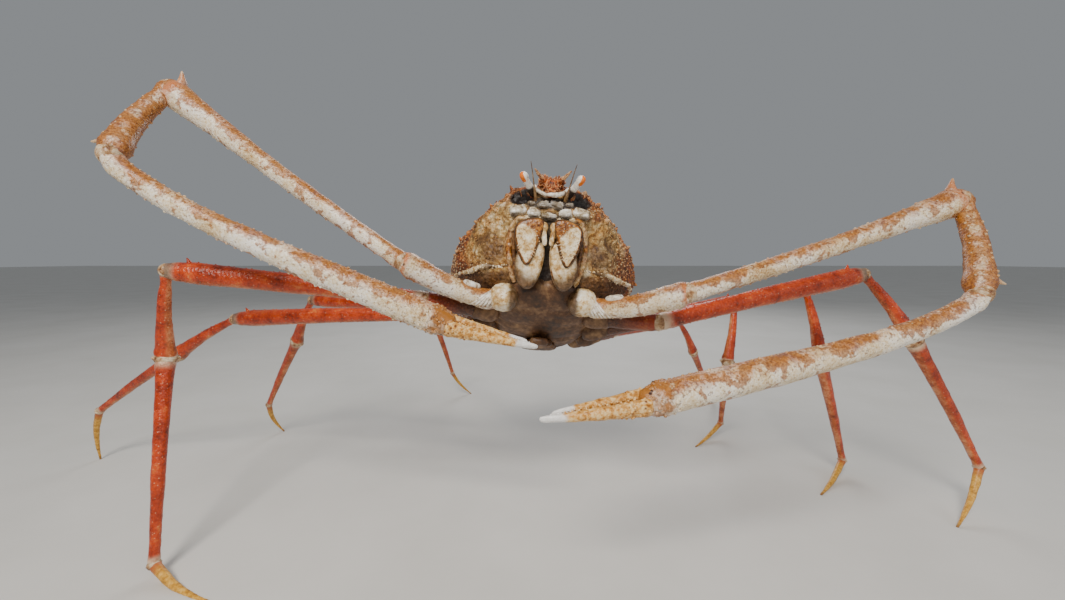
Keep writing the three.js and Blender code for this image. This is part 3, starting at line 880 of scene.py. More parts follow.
horn = grow("horn", [(-7, 5.5), (0, 6.2), (8, 5.2, -0.6), (17, 3.8, -1.2), (27, 2.8, 2.7, -0.8),
                     (36, 2.0, 1.9, 0.4), (41, 1.4, 1.0), (43, 0.7, 1.2)], sides=14)
smooth_over(horn, 1)
rough(horn, 6, 0.8)
paint_points(horn, "grain", lambda p: clamp((p.y / MM - 14) / 14))
horns = []
for side in (-1, 1):
    stand = between(mirrored(side, HORN_ROOT), mirrored(side, HORN_TIP))
    horns.append(settle(own_copy(horn, f"horn_{side}"), stand))
bpy.data.objects.remove(horn)

cushion = join([
    ball_plate("cushion", (0, -174, 38), (10.5, 10, 11), 0, 2.4),
    ball_plate("cushion", (0, -177, 27), (6, 7, 8), 0, 1.6),
    ball_plate("cushion", (-9, -173, 47), (9, 8, 7), 35, 1.8),
    ball_plate("cushion", (9, -173, 47), (9, 8, 7), -35, 1.8),
], "cushion")
bristles = []
for vertex in cushion.data.vertices:
    if vertex.normal.y < 0.3 and rng.random() < 0.22:
        way = vertex.normal + Vector((rng.uniform(-0.3, 0.3), -0.3, 0.3))
        height, radius = rng.uniform(2, 5), rng.uniform(1.0, 1.7)
        bristles.append((vertex.co.copy(), way, height * MM, radius * MM))
for side in (-1, 1):
    for i in range(7):
        place = HORN_ROOT.lerp(HORN_TIP, rng.uniform(0.1, 0.6))
        turn = rng.uniform(0, math.tau)
        way = Vector((math.cos(turn), -0.5, math.sin(turn)))
        place = mirrored(side, place) + way.normalized() * 2.2
        bristles.append((place * MM, way, rng.uniform(2, 3.5) * MM, 0.7 * MM))
for i in range(150):
    side = rng.choice((-1, 1))
    turn = math.radians(rng.uniform(20, 160))
    near = Vector((side * (44 + 23 * math.cos(turn)), -150, 28 + 15 * math.sin(turn)))
    spot, outward = nearest(carapace, TRUNK @ (near * MM))
    way = Vector((rng.uniform(-0.5, 0.5) + side * 0.3, -0.8, rng.uniform(0.2, 1)))
    bristles.append((untrunk @ spot, way, rng.uniform(4, 10) * MM, 0.55 * MM))
tufts = sow("tufts", bristles, sharpness=2.2)
rostrum = join([cushion, tufts, *horns], "rostrum")
finish(settle(rostrum, TRUNK), rostrum_shell, "shell")
print("rostrum points:", len(rostrum.data.vertices))

# %% [markdown]
# Larger spines stand in pairs along the edge of the carapace, the first behind each eye. They are
# short and blunt on an old crab, so each is a tube of a few rings that leans a little.

# %% Spines of the carapace's edge
SHOULDER_SPINES = [(60, -140, 15, 6), (88, -104, 12, 6), (122, -60, 11, 6), (150, -8, 10, 6)]
SPINE_HEIGHT = 10


def ball_above(x, y):
    """The direction of the unit ball whose place on the back is this far sideways and along."""
    t = (y - CARAPACE_FRONT) / CARAPACE_LENGTH
    ball_y = 2 * t - 1
    reach = (1 - ball_y ** 2) ** 0.25
    across = min(1, abs(x) / (reach * along_curve(HALF_WIDTHS, t))) ** (1 / SHELL_CORNERS)
    ring = math.sqrt(1 - ball_y ** 2)
    return Vector((math.copysign(across * ring, x), ball_y, math.sqrt(1 - across ** 2) * ring))


spine_model = grow("spine", [(-5, 1.5), (0, 1.1), (2.4, 0.76), (5, 0.54, 0.02), (8.4, 0.32, 0.08),
                             (SPINE_HEIGHT, 0.12, 0.12)], sides=10)
smooth_over(spine_model, 1)


def spine_at(name, root, outward, height, radius, lean=UP):
    """A copy of the spine, which is 1 mm in radius, standing on a surface. Sizes are in metres."""
    piece = own_copy(spine_model, name)
    size = Matrix.Diagonal((radius / MM, height / (SPINE_HEIGHT * MM), radius / MM, 1))
    return settle(piece, frame_along(root, outward, lean) @ size)


edge_spines = []
for x, y, height, radius in SHOULDER_SPINES:
    for side in (-1, 1):
        stand = nearest(carapace, TRUNK @ (carapace_point(ball_above(side * x, y)) * MM))
        edge_spines.append(spine_at("edge_spine", *stand, height * MM, radius * MM))
finish(join(edge_spines, "edge_spines"), back_shell, "shell")

# %% [markdown]
# Below the carapace is the thorax, where the ten limbs meet. Its brown shell is painted darker as
# shade, and it is hardly seen. It repeats the solid's boxy ball, with grooves between the segments
# that carry each pair of limbs.

# %% Thorax
THORAX_MIDDLE = Vector((0, 18, -84))
THORAX_REACH = (88, 112)
THORAX_HEIGHT = 50
THORAX_DEPTH = 35
THORAX_CORNERS = 0.8
SEGMENT_LENGTH = 46
COXAE = [(66, -57, -96), (95, -12, -98), (98, 38, -96), (94, 84, -88), (80, 124, -76)]

thorax = unit_ball("thorax_shell", 72, 48)
for vertex in thorax.data.vertices:
    ball = vertex.co.normalized()
    tall = THORAX_HEIGHT if ball.z > 0 else THORAX_DEPTH
    across, high = soft(ball.x, THORAX_CORNERS), soft(ball.z, THORAX_CORNERS)
    p = Vector((across * THORAX_REACH[0], ball.y * THORAX_REACH[1], high * tall)) + THORAX_MIDDLE
    groove = max(0, math.cos(p.y / SEGMENT_LENGTH * math.tau)) ** 6 * min(1, abs(p.x) / 30)
    midline = max(0, 6 - abs(p.x)) * 0.5
    vertex.co = (p - ball * (groove * 4 + midline) + ball * lumps(p, 18, 1.5)) * MM
finish(settle(thorax, TRUNK), under_shell_in_shade, "underside", "thorax")

# %% [markdown]
# The abdomen of a crab is its tail, folded flat beneath the thorax. A male's is narrow, in six
# rings. One ring is made, flattened and tilted, and its copies overlap like tiles.

# %% Abdomen
ABDOMEN_SEGMENTS = [
    (128, -96, 25), (112, -103, 30), (94, -110, 32), (74, -117, 28), (55, -123, 22), (38, -128, 15),
]
ring_model = rounded_cube("ring", 3, 0.55)
segments = []
for along, height, half_wide in ABDOMEN_SEGMENTS:
    size = Matrix.Diagonal((half_wide * MM, 12 * MM, 6.5 * MM, 1))
    place = at_place(0, along, height) @ turned(20, "X")
    segments.append(settle(own_copy(ring_model, "tail_ring"), place @ size))
bpy.data.objects.remove(ring_model)
abdomen = join(segments, "abdomen_rings")
rough(abdomen, 9, 0.8)
finish(settle(abdomen, TRUNK), under_shell_in_shade, "underside", "abdomen")

# %% [markdown]
# The limbs. Every crab limb has the same chain of articles: a short coxa and basis in the body's
# side, then ischium, merus, carpus, and last a hand with its finger, or a propodus with its dactyl.
# The lengths, headings and thicknesses repeat the solid model's, in millimetres and degrees. A
# dactyl has no rise of its own, because it slopes down until its tip is on the floor.

# %% Sizes and pose of the limbs
NAMES = {
    "claw": ("ischium", "merus", "carpus", "hand"),
    "leg": ("ischium", "merus", "carpus", "propodus", "dactyl"),
}
ARTICLE_LENGTHS = [
    (167, 454, 165, 506, 133),
    (104, 398, 148, 316, 134),
    (132, 412, 170, 300, 145),
    (104, 358, 148, 250, 120),
    (100, 335, 145, 246, 120),
]
MODELLED_LENGTHS = {"claw": ARTICLE_LENGTHS[0], "leg": ARTICLE_LENGTHS[1]}
POSE = {
    "R": [
        [(13, 20), (-5, 36), (89, -48), (-175, -28), (-177, -14)],
        [(18, 11), (5, 7), (-38, -75), (104, -76), (156, None)],
        [(-11, 5), (-13, -3), (-12, -28), (-16, -30), (-40, None)],
        [(-46, 20), (-15, 1), (-43, -46), (-36, -49), (-89, None)],
        [(-56, 0), (-70, -4), (-62, -10), (-101, -54), (-135, None)],
    ],
    "L": [
        [(26, 7), (-6, 18), (114, -57), (171, -15), (170, -5)],
        [(22, -2), (-11, 11), (5, -52), (-13, -54), (147, None)],
        [(2, 10), (-28, 5), (103, -51), (-38, -58), (138, None)],
        [(-19, 12), (-36, 4), (132, -77), (-71, -54), (143, None)],
        [(-39, 2), (-48, -2), (-50, -42), (-54, -42), (-60, None)],
    ],
}
RADII = {
    "claw": {
        "ischium": [(0, 17.5), (0.16, 18), (0.26, 15.5), (0.5, 17.5), (0.85, 19.5), (0.94, 19),
                    (1, 15)],
        "merus": [(0, 14.5), (0.05, 13.5), (0.3, 14), (0.55, 14.5), (0.78, 17), (0.9, 20.5),
                  (0.965, 22), (1, 18)],
        "carpus": [(0, 13.5), (0.15, 14), (0.45, 15.5), (0.75, 18), (0.9, 19), (1, 16)],
        "hand": [(0, 15.5), (0.05, 14.5), (0.2, 15), (0.45, 17.5), (0.7, 20.5), (0.86, 22.5),
                 (0.96, 21.5), (1, 18)],
    },
    "leg": {
        "ischium": [(0, 17), (0.3, 15.5), (0.7, 16), (1, 14)],
        "merus": [(0, 14), (0.06, 13), (0.3, 14.5), (0.6, 16), (0.9, 17.5), (1, 12)],
        "carpus": [(0, 9), (0.12, 8), (0.45, 10), (0.85, 13.5), (1, 12)],
        "propodus": [(0, 12), (0.08, 13), (0.2, 12), (0.5, 10.5), (0.9, 8), (1, 7.5)],
        "dactyl": [(0, 7.6), (0.12, 7.8), (0.4, 6.5), (0.7, 4.8), (0.92, 3.0), (1, 2.0)],
    },
}
FINGER_RADII = [(0, 15.5), (0.12, 13), (0.4, 9.8), (0.7, 7.2), (0.9, 5.6), (1, 4.6)]
LEG_STOUTNESS = (1, 1, 0.96, 0.88, 0.8)
BOWS = {
    "claw": {"ischium": -15, "merus": -4, "carpus": 8, "hand": -22},
    "leg": {"merus": 2, "carpus": 4, "propodus": 3, "dactyl": 10},
}
BOW_SKEWS = {"ischium": 0.6, "hand": 0.55}
FLATNESS = 0.94
TIP_RISE = 1.2
CLAW_ROLL = 65
HINGED_SHARE = 0.88


def joints_of(letter, side, pair):
    """The six joint centres of a limb in metres, from the trunk to its tip."""
    joints = [TRUNK @ (mirrored(side, COXAE[pair]) * MM)]
    for (heading, rise), length in zip(POSE[letter][pair], ARTICLE_LENGTHS[pair]):
        start = joints[-1]
        if rise is None:
            rise = math.degrees(math.asin((TIP_RISE * MM - start.z) / (length * MM)))
        turn, lift = math.radians(heading), math.radians(rise)
        level = math.cos(lift)
        way = Vector((side * math.cos(turn) * level, -math.sin(turn) * level, math.sin(lift)))
        joints.append(start + way * length * MM)
    return joints


def radius_at(radii, t):
    """The radius at a fraction of an article's length, eased between the given places."""
    for (low, first), (high, last) in zip(radii, radii[1:]):
        if t <= high:
            w = (t - low) / (high - low)
            return first + (last - first) * w * w * (3 - 2 * w) if w > 0 else first
    return radii[-1][1]


def bow_at(kind, name, t):
    """How far an article's middle line is bowed up at a fraction of its length."""
    return BOWS[kind].get(name, 0) * math.sin(math.pi * t ** BOW_SKEWS.get(name, 1))


# %% [markdown]
# Each kind of article is modelled once, straight along y at the length of its first pair, and every
# limb takes a copy, stretched to its own length. Shell swells where it bears on a joint, so each
# article has rims and a waist beside its ends: a swell is (place, spread, rise as a share).

# %% Models of the articles
SWELLS = {
    ("claw", "ischium"): [(0.93, 0.035, 0.07), (0.20, 0.03, -0.08)],
    ("claw", "merus"): [(0.965, 0.030, 0.06), (0.03, 0.012, 0.12)],
    ("claw", "carpus"): [(0.90, 0.05, 0.10), (0.14, 0.05, -0.08), (0.0, 0.07, 0.30)],
    ("claw", "hand"): [(0.955, 0.014, 0.08), (0.02, 0.014, 0.10), (0.60, 0.10, 0.03)],
    ("leg", "ischium"): [(0.9, 0.05, 0.08)],
    ("leg", "merus"): [(0.965, 0.018, 0.12), (0.93, 0.012, -0.05), (0.03, 0.014, 0.10)],
    ("leg", "carpus"): [(0.95, 0.05, 0.32), (0.14, 0.05, -0.10)],
    ("leg", "propodus"): [(0.03, 0.035, 0.26), (0.98, 0.02, 0.18)],
    ("leg", "dactyl"): [(0.03, 0.03, 0.12)],
}
RING_COUNT = {"merus": 34, "hand": 36, "propodus": 28, "ischium": 18, "carpus": 20, "dactyl": 22}
END_RINGS = ((0.45, 0.90), (0.80, 0.62), (0.96, 0.26))
BLUNTNESS = {"claw": 0.55, "leg": 1}
LUMPS = {"claw": (0.9, 0.6), "leg": (0.5, 0.35)}


def upper_at(kind, name, length, p):
    """From -1 on the lower edge of an article to 1 on its upper one."""
    t = clamp(p.y / (length * MM))
    return (p.z / MM - bow_at(kind, name, t)) / radius_at(RADII[kind][name], t)


def article_model(kind, name, length):
    """One article, straight along y in metres, with round ends about both its joint centres."""
    radii = RADII[kind][name]
    first, last = radii[0][1], radii[-1][1]
    rings = [(-first * share, first * wide) for share, wide in reversed(END_RINGS)]
    for i in range(RING_COUNT[name] + 1):
        t = i / RING_COUNT[name]
        ease = t - 0.09 * math.sin(math.tau * t)
        swell = 1 + sum(rise * math.exp(-(((ease - place) / spread) ** 2))
                        for place, spread, rise in SWELLS[kind, name])
        rings.append((ease * length, radius_at(radii, ease) * swell))
    blunt = BLUNTNESS[kind]
    rings += [(length + last * share * blunt, last * wide) for share, wide in END_RINGS]
    model = grow(f"{kind}_{name}", [
        (y, radius * FLATNESS, radius, bow_at(kind, name, clamp(y / length)))
        for y, radius in rings
    ])
    smooth_over(model, 1)
    rough(model, 26, LUMPS[kind][0])
    rough(model, 9, LUMPS[kind][1], 5)
    paint_points(model, "upper", lambda p: upper_at(kind, name, length, p))
    paint_points(model, "along", lambda p: p.y / (length * MM))
    return model


models = {}
for kind, names in NAMES.items():
    for name, length in zip(names, MODELLED_LENGTHS[kind]):
        models[kind, name] = article_model(kind, name, length)
ischium_length, merus_length = (length * MM for length in MODELLED_LENGTHS["leg"][:2])
# Painted shade: dark where each ischium leaves the underside, and a dark ring in the crease at the end
# of each merus.
paint_points(models["leg", "ischium"], "dusk", lambda p: clamp(1.3 - 0.9 * p.y / ischium_length))
paint_points(models["leg", "merus"], "dusk",
             lambda p: 0.72 * clamp((p.y / merus_length - 0.955) * 40))
print("article models:", len(models))

# %% [markdown]
# The claw arms carry tubercles too: rows along both margins of the palm and the lower edge of the
# merus, a crown about the base of the fingers, and one long spine at the end of each merus. They
# are sown on the straight model, where "degrees round from the upper edge" is easy to say. A row is
# (first, last, how many, degrees, height, radius), and a long spine (place, degrees, height, radius).

# %% Tubercles of the articles
ROWS = {
    ("claw", "ischium"): [(0.30, 0.90, 9, 180, 1.4, 2.0), (0.30, 0.90, 8, 20, 1.4, 2.0)],
    ("claw", "merus"): [(0.10, 0.86, 16, -25, 1.7, 2.2), (0.10, 0.92, 26, 180, 1.9, 2.2),
                        (0.15, 0.9, 12, 40, 1.3, 1.8)],
    ("claw", "carpus"): [(0.2, 0.88, 9, 40, 2.2, 2.6), (0.25, 0.86, 8, -50, 1.8, 2.2),
                         (0.3, 0.88, 6, 120, 1.8, 2.2)],
    ("claw", "hand"): [(0.05, 0.95, 34, 12, 1.8, 2.2), (0.05, 0.95, 36, 172, 1.9, 2.2),
                       (0.10, 0.95, 20, 38, 1.2, 1.6)],
    ("leg", "merus"): [(0.06, 0.92, 26, 8, 1.2, 1.5), (0.06, 0.92, 24, 176, 1.0, 1.4)],
    ("leg", "carpus"): [(0.2, 0.9, 10, 10, 1.2, 1.5)],
    ("leg", "propodus"): [(0.08, 0.92, 18, 10, 0.9, 1.2)],
}
SCATTER = {
    ("claw", "ischium"): 40, ("claw", "merus"): 110, ("claw", "carpus"): 70, ("claw", "hand"): 150,
    ("leg", "merus"): 60, ("leg", "carpus"): 20,
}
CROWN = 90
LONG_SPINES = {
    ("claw", "merus"): (0.975, 0, 17, 7),
    ("claw", "carpus"): (0.86, 0, 12, 5),
    ("leg", "merus"): (0.92, 0, 8, 4),
}
WELL_OUTSIDE = 0.06
AHEAD = Vector((0, 1, 0))


def skin_spot(model, length, at, angle):
    """The skin of an article at a fraction of its length and degrees round, and the way out."""
    turn = math.radians(angle)
    out = Vector((math.sin(turn), 0, math.cos(turn)))
    far = Vector((0, at * length * MM, 0)) + out * WELL_OUTSIDE
    hit, spot, normal, face = model.ray_cast(far, -out)
    return (spot, normal) if hit else nearest(model, far)


for (kind, name), model in list(models.items()):
    length = MODELLED_LENGTHS[kind][NAMES[kind].index(name)]
    places = []
    for first, last, count, angle, height, radius in ROWS.get((kind, name), []):
        for i in range(count):
            at = first + (last - first) * (i + rng.uniform(-0.3, 0.3)) / (count - 1)
            size = rng.uniform(0.7, 1.25)
            spot, out = skin_spot(model, length, at, angle + rng.uniform(-7, 7))
            places.append((spot, out + AHEAD * 0.25, height * size * MM, radius * size * MM))
    for i in range(SCATTER.get((kind, name), 0)):
        spot, out = skin_spot(model, length, rng.uniform(0.06, 0.96), rng.uniform(-180, 180))
        size = rng.uniform(0.5, 1.2)
        places.append((spot, out, 0.6 * size * MM, 1.2 * size * MM))
    for i in range(CROWN if name == "hand" else 0):
        at, angle = rng.uniform(0.925, 0.99), i * SEED_TURN + rng.uniform(-6, 6)
        spot, out = skin_spot(model, length, at, angle)
        height, radius = rng.uniform(1.2, 3.2), rng.uniform(1.8, 3.2)
        places.append((spot, out + AHEAD * 0.4, height * MM, radius * MM))
    parts = [model]
    if places:
        parts.append(sow("grains", places, sharpness=1.5))
    if (kind, name) in LONG_SPINES:
        at, angle, height, radius = LONG_SPINES[kind, name]
        spot, out = skin_spot(model, length, at, angle)
        parts.append(spine_at("long_spine", spot, out + AHEAD * 0.25, height * MM, radius * MM, AHEAD))
        paint_points(parts[-1], "grain", lambda p: min(1, (p - spot).length / (0.7 * height * MM)))
    if len(parts) > 1:
        smooth = len(model.data.vertices)
        models[kind, name] = join(parts, model.name)
        paint_points(model, "upper", lambda p: upper_at(kind, name, length, p), smooth)
        paint_points(model, "along", lambda p: clamp(p.y / (length * MM)), smooth)
        print(name, "of the", kind, "has", len(places), "tubercles")

# %% [markdown]
# The fingers of a claw meet along a dark line. The lower finger is one piece with the palm, and the
# upper one hinges on it and is a little shorter. Each is a half-round tube bowed like a pair of
# tongs, and small blunt teeth, whiter than the rest, stand along both cutting edges.

# %% Models of the fingers
FINGER_LENGTH = ARTICLE_LENGTHS[0][4]
FINGER_RINGS = 22
TEETH = 13


def finger_height(t, half):
    """How far a finger's back stands from the line where the two fingers meet."""
    radius = radius_at(FINGER_RADII, t)
    bulge = math.sin(math.pi * t)
    return radius + 3 - 1.6 * t + 2 * bulge if half > 0 else radius + 3.5 - 2.1 * t + 4 * bulge


def finger_model(name, length, half):
    """A half-round finger along y. Half is 1 for the upper, hinged one and -1 for the lower one."""
    rings = [(-14, 6, 4, half * 4), (-9, 11, 7, half * 6)]
    for i in range(FINGER_RINGS + 1):
        t = i / FINGER_RINGS
        high = finger_height(t, half)
        wide = radius_at(FINGER_RADII, t) * 0.93
        rings.append((t * length, wide, high / 2, half * (high / 2 + 0.45)))
    rings += [(length + 2.2, 3.2, high * 0.36, half * high * 0.44),
              (length + 3.6, 1.6, high * 0.18, half * high * 0.42)]
    model = grow(name, rings, sides=18)
    smooth_over(model, 1)
    rough(model, 8, 0.5)
    grit = []
    for i in range(TEETH):
        t = 0.12 + 0.80 * i / (TEETH - 1)
        side = radius_at(FINGER_RADII, t) * 0.62
        for way in (-1, 1):
            place = Vector((way * side, t * length, half * 1.4)) * MM
            grit.append((place, Vector((way * 0.8, 0, -half * 0.6)), 1.5 * MM, (2.2 - t) * MM))
    for i in range(26):
        t = rng.uniform(0.0, 0.30)
        turn = math.radians(rng.uniform(-85, 85))
        out = Vector((math.sin(turn), 0, half * math.cos(turn)))
        far = Vector((0, t * length, 0)) * MM + out * WELL_OUTSIDE
        hit, spot, normal, face = model.ray_cast(far, -out)
        if hit:
            grit.append((spot, normal, 1.5 * MM, 1.7 * MM))
    model = join([model, sow("teeth", grit)], name)
    paint_points(model, "along", lambda p: p.y / (length * MM))
    return model


upper_finger = finger_model("upper_finger", FINGER_LENGTH * HINGED_SHARE, 1)
lower_finger = finger_model("lower_finger", FINGER_LENGTH, -1)

# %% [markdown]
# Between two articles the shell is open, and a ring of soft pale skin joins them, folded so that
# the joint can bend. On each side of it a knob of hard shell bears the hinge. One joint is modelled
# as a short bellows with two knobs, and each bend takes a copy, scaled to it. The skin stands out
# most at the lower joints of the walking legs.

# %% Model of a joint
folds = []
for i in range(15):
    y = -14 + 2 * i
    round_off = math.sqrt(max(0, 1 - (y / 15.2) ** 2))
    folds.append((y, 10.4 * round_off ** 0.7 * (1 + (0.055 if i % 2 else -0.045))))
joint_model = grow("joint", folds, sides=20)
smooth_over(joint_model, 1)
knobs = [(Vector((side * 8.6, 0, 0)) * MM, Vector((side, 0, 0)), 3.2 * MM, 4.6 * MM)
         for side in (-1, 1)]
joint_model = join([joint_model, sow("knobs", knobs)], "joint")
JOINT_RADIUS = 10

# %% Setting the articles on the limbs
KNUCKLES = {1: 1, 2: 1.12, 3: 1.45, 4: 1.3}
PAINT = {
    ("claw", "carpus"): wrist_shell, ("claw", "hand"): palm_shell, ("leg", "dactyl"): foot_horn,
}
ABOVE_FLOOR = 0.0002


def limb_frame(side, name, joints, i):
    toward = UP
    if name == "carpus":
        toward = Vector((side, 0, 0.3))
    if name == "dactyl":
        toward = joints[4] - joints[3]
    return frame_along(joints[i], joints[i + 1] - joints[i], toward)


def middle_frame(joints, i):
    """A frame at a joint, with y halfway between the ways of its two articles."""
    before = (joints[i] - joints[i - 1]).normalized()
    after = (joints[i + 1] - joints[i]).normalized()
    toward = (after - before).cross(before + after)
    if toward.length < 0.05:
        toward = UP
    return frame_along(joints[i], before + after, toward) @ turned(90, "Y")


for letter, side in SIDES:
    for pair in range(5):
        joints = joints_of(letter, side, pair)
        arm = pair == 0
        kind, plain = ("claw", claw_shell) if arm else ("leg", leg_shell)
        node = f"claw_{letter}" if arm else f"leg_{letter}{pair}"
        stout = 1 if arm else LEG_STOUTNESS[pair]
        names = NAMES[kind]
        for i, name in enumerate(names):
            piece = own_copy(models[kind, name], f"{node}_{name}_shell")
            stretch = ARTICLE_LENGTHS[pair][i] / MODELLED_LENGTHS[kind][i]
            size = Matrix.Diagonal((stout, stretch, stout, 1))
            settle(piece, limb_frame(side, name, joints, i) @ size)
            for vertex in piece.data.vertices:
                vertex.co.z = max(vertex.co.z, ABOVE_FLOOR)
            slot = "foot" if name == "dactyl" else kind
            finish(piece, PAINT.get((kind, name), plain), slot, f"{node}_{name}")
        for i in range(1, len(names)):
            before, after = RADII[kind][names[i - 1]], RADII[kind][names[i]]
            size = (before[-1][1] + after[0][1]) / 2 / JOINT_RADIUS * stout
            wide = size * 0.95 * (1 if arm else KNUCKLES[i])
            joint = own_copy(joint_model, f"{node}_joint_{i}")
            settle(joint, middle_frame(joints, i) @ Matrix.Diagonal((wide, size * 0.62, wide, 1)))
            finish(joint, joint_skin, kind)
        if arm:
            roll = math.radians(CLAW_ROLL)
            toward = Vector((0, math.sin(roll), math.cos(roll)))
            grip = frame_along(joints[4], joints[5] - joints[4], toward)
            upper = settle(own_copy(upper_finger, f"{node}_upper_finger"), grip)
            finish(upper, finger_shell, "finger", f"{node}_finger")
            lower = settle(own_copy(lower_finger, f"{node}_lower_finger"), grip)
            finish(lower, finger_shell, "finger")

# %% [markdown]
# Each limb's coxa is a short cup in the body's side. Those of the claw arms are the largest and
# palest, and show as cream domes beside the mouth, with fans of folded white skin at their outer
# ends.

# %% Coxae
coxa_model = grow("coxa", [(-20, 13), (-14, 19), (-4, 22), (6, 22.5), (14, 20.5), (19, 19.5),
                           (22, 20.5), (26, 18.5), (29, 12), (30, 5)], sides=22)
smooth_over(coxa_model, 1)
rough(coxa_model, 12, 1.0)
for letter, side in SIDES:
    for pair in range(1, 5):
        joints = joints_of(letter, side, pair)
        way = (joints[1] - joints[0]).normalized()
        stout = 0.94 * LEG_STOUTNESS[pair]
        coxa = own_copy(coxa_model, f"coxa_{letter}{pair}")
        stand = frame_along(joints[0] - way * 0.004, way)
        # The legs' coxae take the underside's shell, painted dark as shade.
        finish(settle(coxa, stand @ Matrix.Diagonal((stout, 1, stout, 1))), under_shell_in_shade, "underside")

# %% Domed coxae of the claw arms, with fans of folded skin
CLAW_COXA = (63, -66, -103)
FAN_BLADES = 6
for letter, side in SIDES:
    dome = settle(ball_plate("dome", mirrored(side, CLAW_COXA), (20, 18, 19), 0, 1.0, 0.95), TRUNK)
    joints = joints_of(letter, side, 0)
    arm_frame = frame_along(joints[0], joints[1] - joints[0])
    paint_points(dome, "rim", lambda p: 0.22)
    # Painted shade: each dome browns towards its inner side, beside the mouth.
    paint_points(dome, "dusk", lambda p: clamp((60 - abs((untrunk @ p).x) / MM) / 14, 0.9))
    finish(dome, face_shell, "face")
    fan = []
    for i in range(FAN_BLADES):
        blade = []
        for k in range(9):
            t = k / 8
            turn = side * math.radians(20 + 112 * t)
            far = 13 + (6.4 * i + 2) * t ** 0.8
            dip = bow_at("claw", "ischium", far / ARTICLE_LENGTHS[0][0])
            blade.append((19 * math.sin(turn), far, 19.6 * math.cos(turn) + dip))

        def thickness(t):
            return 0.8 + (2.4 - 0.2 * i) * math.sin(math.pi * min(1, t * 1.05)) ** 0.7

        fan.append(settle(tube("fold", blade, thickness), arm_frame))
    fan.append(settle(ball_plate("fold", (side * 2, 54, 2), (7, 13, 4.5), 0, 0.8), arm_frame))
    finish(join(fan, f"claw_{letter}_folds"), fold_skin, "face")

# %% [markdown]
# The face. The mouth of a crab is closed by a pair of outer mouth limbs, the third maxillipeds,
# like two doors. The lower plate of each is the ischium, smooth and cream. The upper is the merus,
# a rough leaf, and a small white palp bends down from it beside the midline.

# %% Face plates of the mouth
LEAF_OUTLINE = [
    (-28, 20), (-28, 31), (-20, 36), (-4, 37), (12, 33), (20, 24), (22, 10), (20, -6), (16, -22),
    (10, -36), (2, -38), (-6, -27), (-14, -10), (-22, 7),
]
PALM_OUTLINE = [
    (-17, 36), (0, 40), (14, 35), (22, 22), (24, 2), (22, -16), (15, -32), (3, -41), (-9, -38),
    (-16, -24), (-20, -2), (-20, 20),
]
MOUTH_TILT = 32


def carapace_front(x, z):
    """How far back the front of the shell lies at a place of the face, in millimetres."""
    start, way = TRUNK @ (Vector((x, -400, z)) * MM), TRUNK.to_3x3() @ AHEAD
    hit, spot, normal, face = carapace.ray_cast(start, way)
    return (untrunk @ spot).y / MM if hit else -150


def slab(name, outline, thickness, crown):
    """A crowned plate with a rounded edge, from an outline in x and z, in millimetres."""
    mesh = bpy.data.meshes.new(name)
    corners = [Vector((x, 0, z)) * MM for x, z in outline]
    mesh.from_pydata(corners, [], [tuple(range(len(outline)))])
    piece = add_object(name, mesh)
    pick(piece)
    with editing():
        bpy.ops.mesh.inset(thickness=2.2 * MM)
        move = (0, -thickness * MM, 0)
        bpy.ops.mesh.extrude_region_move(TRANSFORM_OT_translate={"value": move})
        for share in (0.72, 0.40):
            bpy.ops.mesh.inset(thickness=3.4 * MM * share)
            bpy.ops.transform.translate(value=(0, -crown * MM * share, 0))
        turn_outward()
    apply_modifier(piece, "SOLIDIFY", thickness=2 * MM, offset=-1)
    smooth_over(piece, 2)
    return piece


def inside_by(p, outline):
    """How far a place of a plate lies inside its outline, in millimetres."""
    x, z = p.x / MM, p.z / MM
    nearest_edge = 99
    for (ax, az), (bx, bz) in zip(outline, outline[1:] + outline[:1]):
        dx, dz = bx - ax, bz - az
        t = clamp(((x - ax) * dx + (z - az) * dz) / (dx * dx + dz * dz))
        nearest_edge = min(nearest_edge, math.hypot(x - ax - t * dx, z - az - t * dz))
    return nearest_edge


def grit_on(piece, faces_front, chance, heights, radii, keep=lambda co: True):
    """Places of grit on the points of a piece whose normals face forwards enough."""
    return [(v.co.copy(), v.normal.copy(), rng.uniform(*heights) * MM, rng.uniform(*radii) * MM)
            for v in piece.data.vertices
            if v.normal.y < faces_front and keep(v.co) and rng.random() < chance]


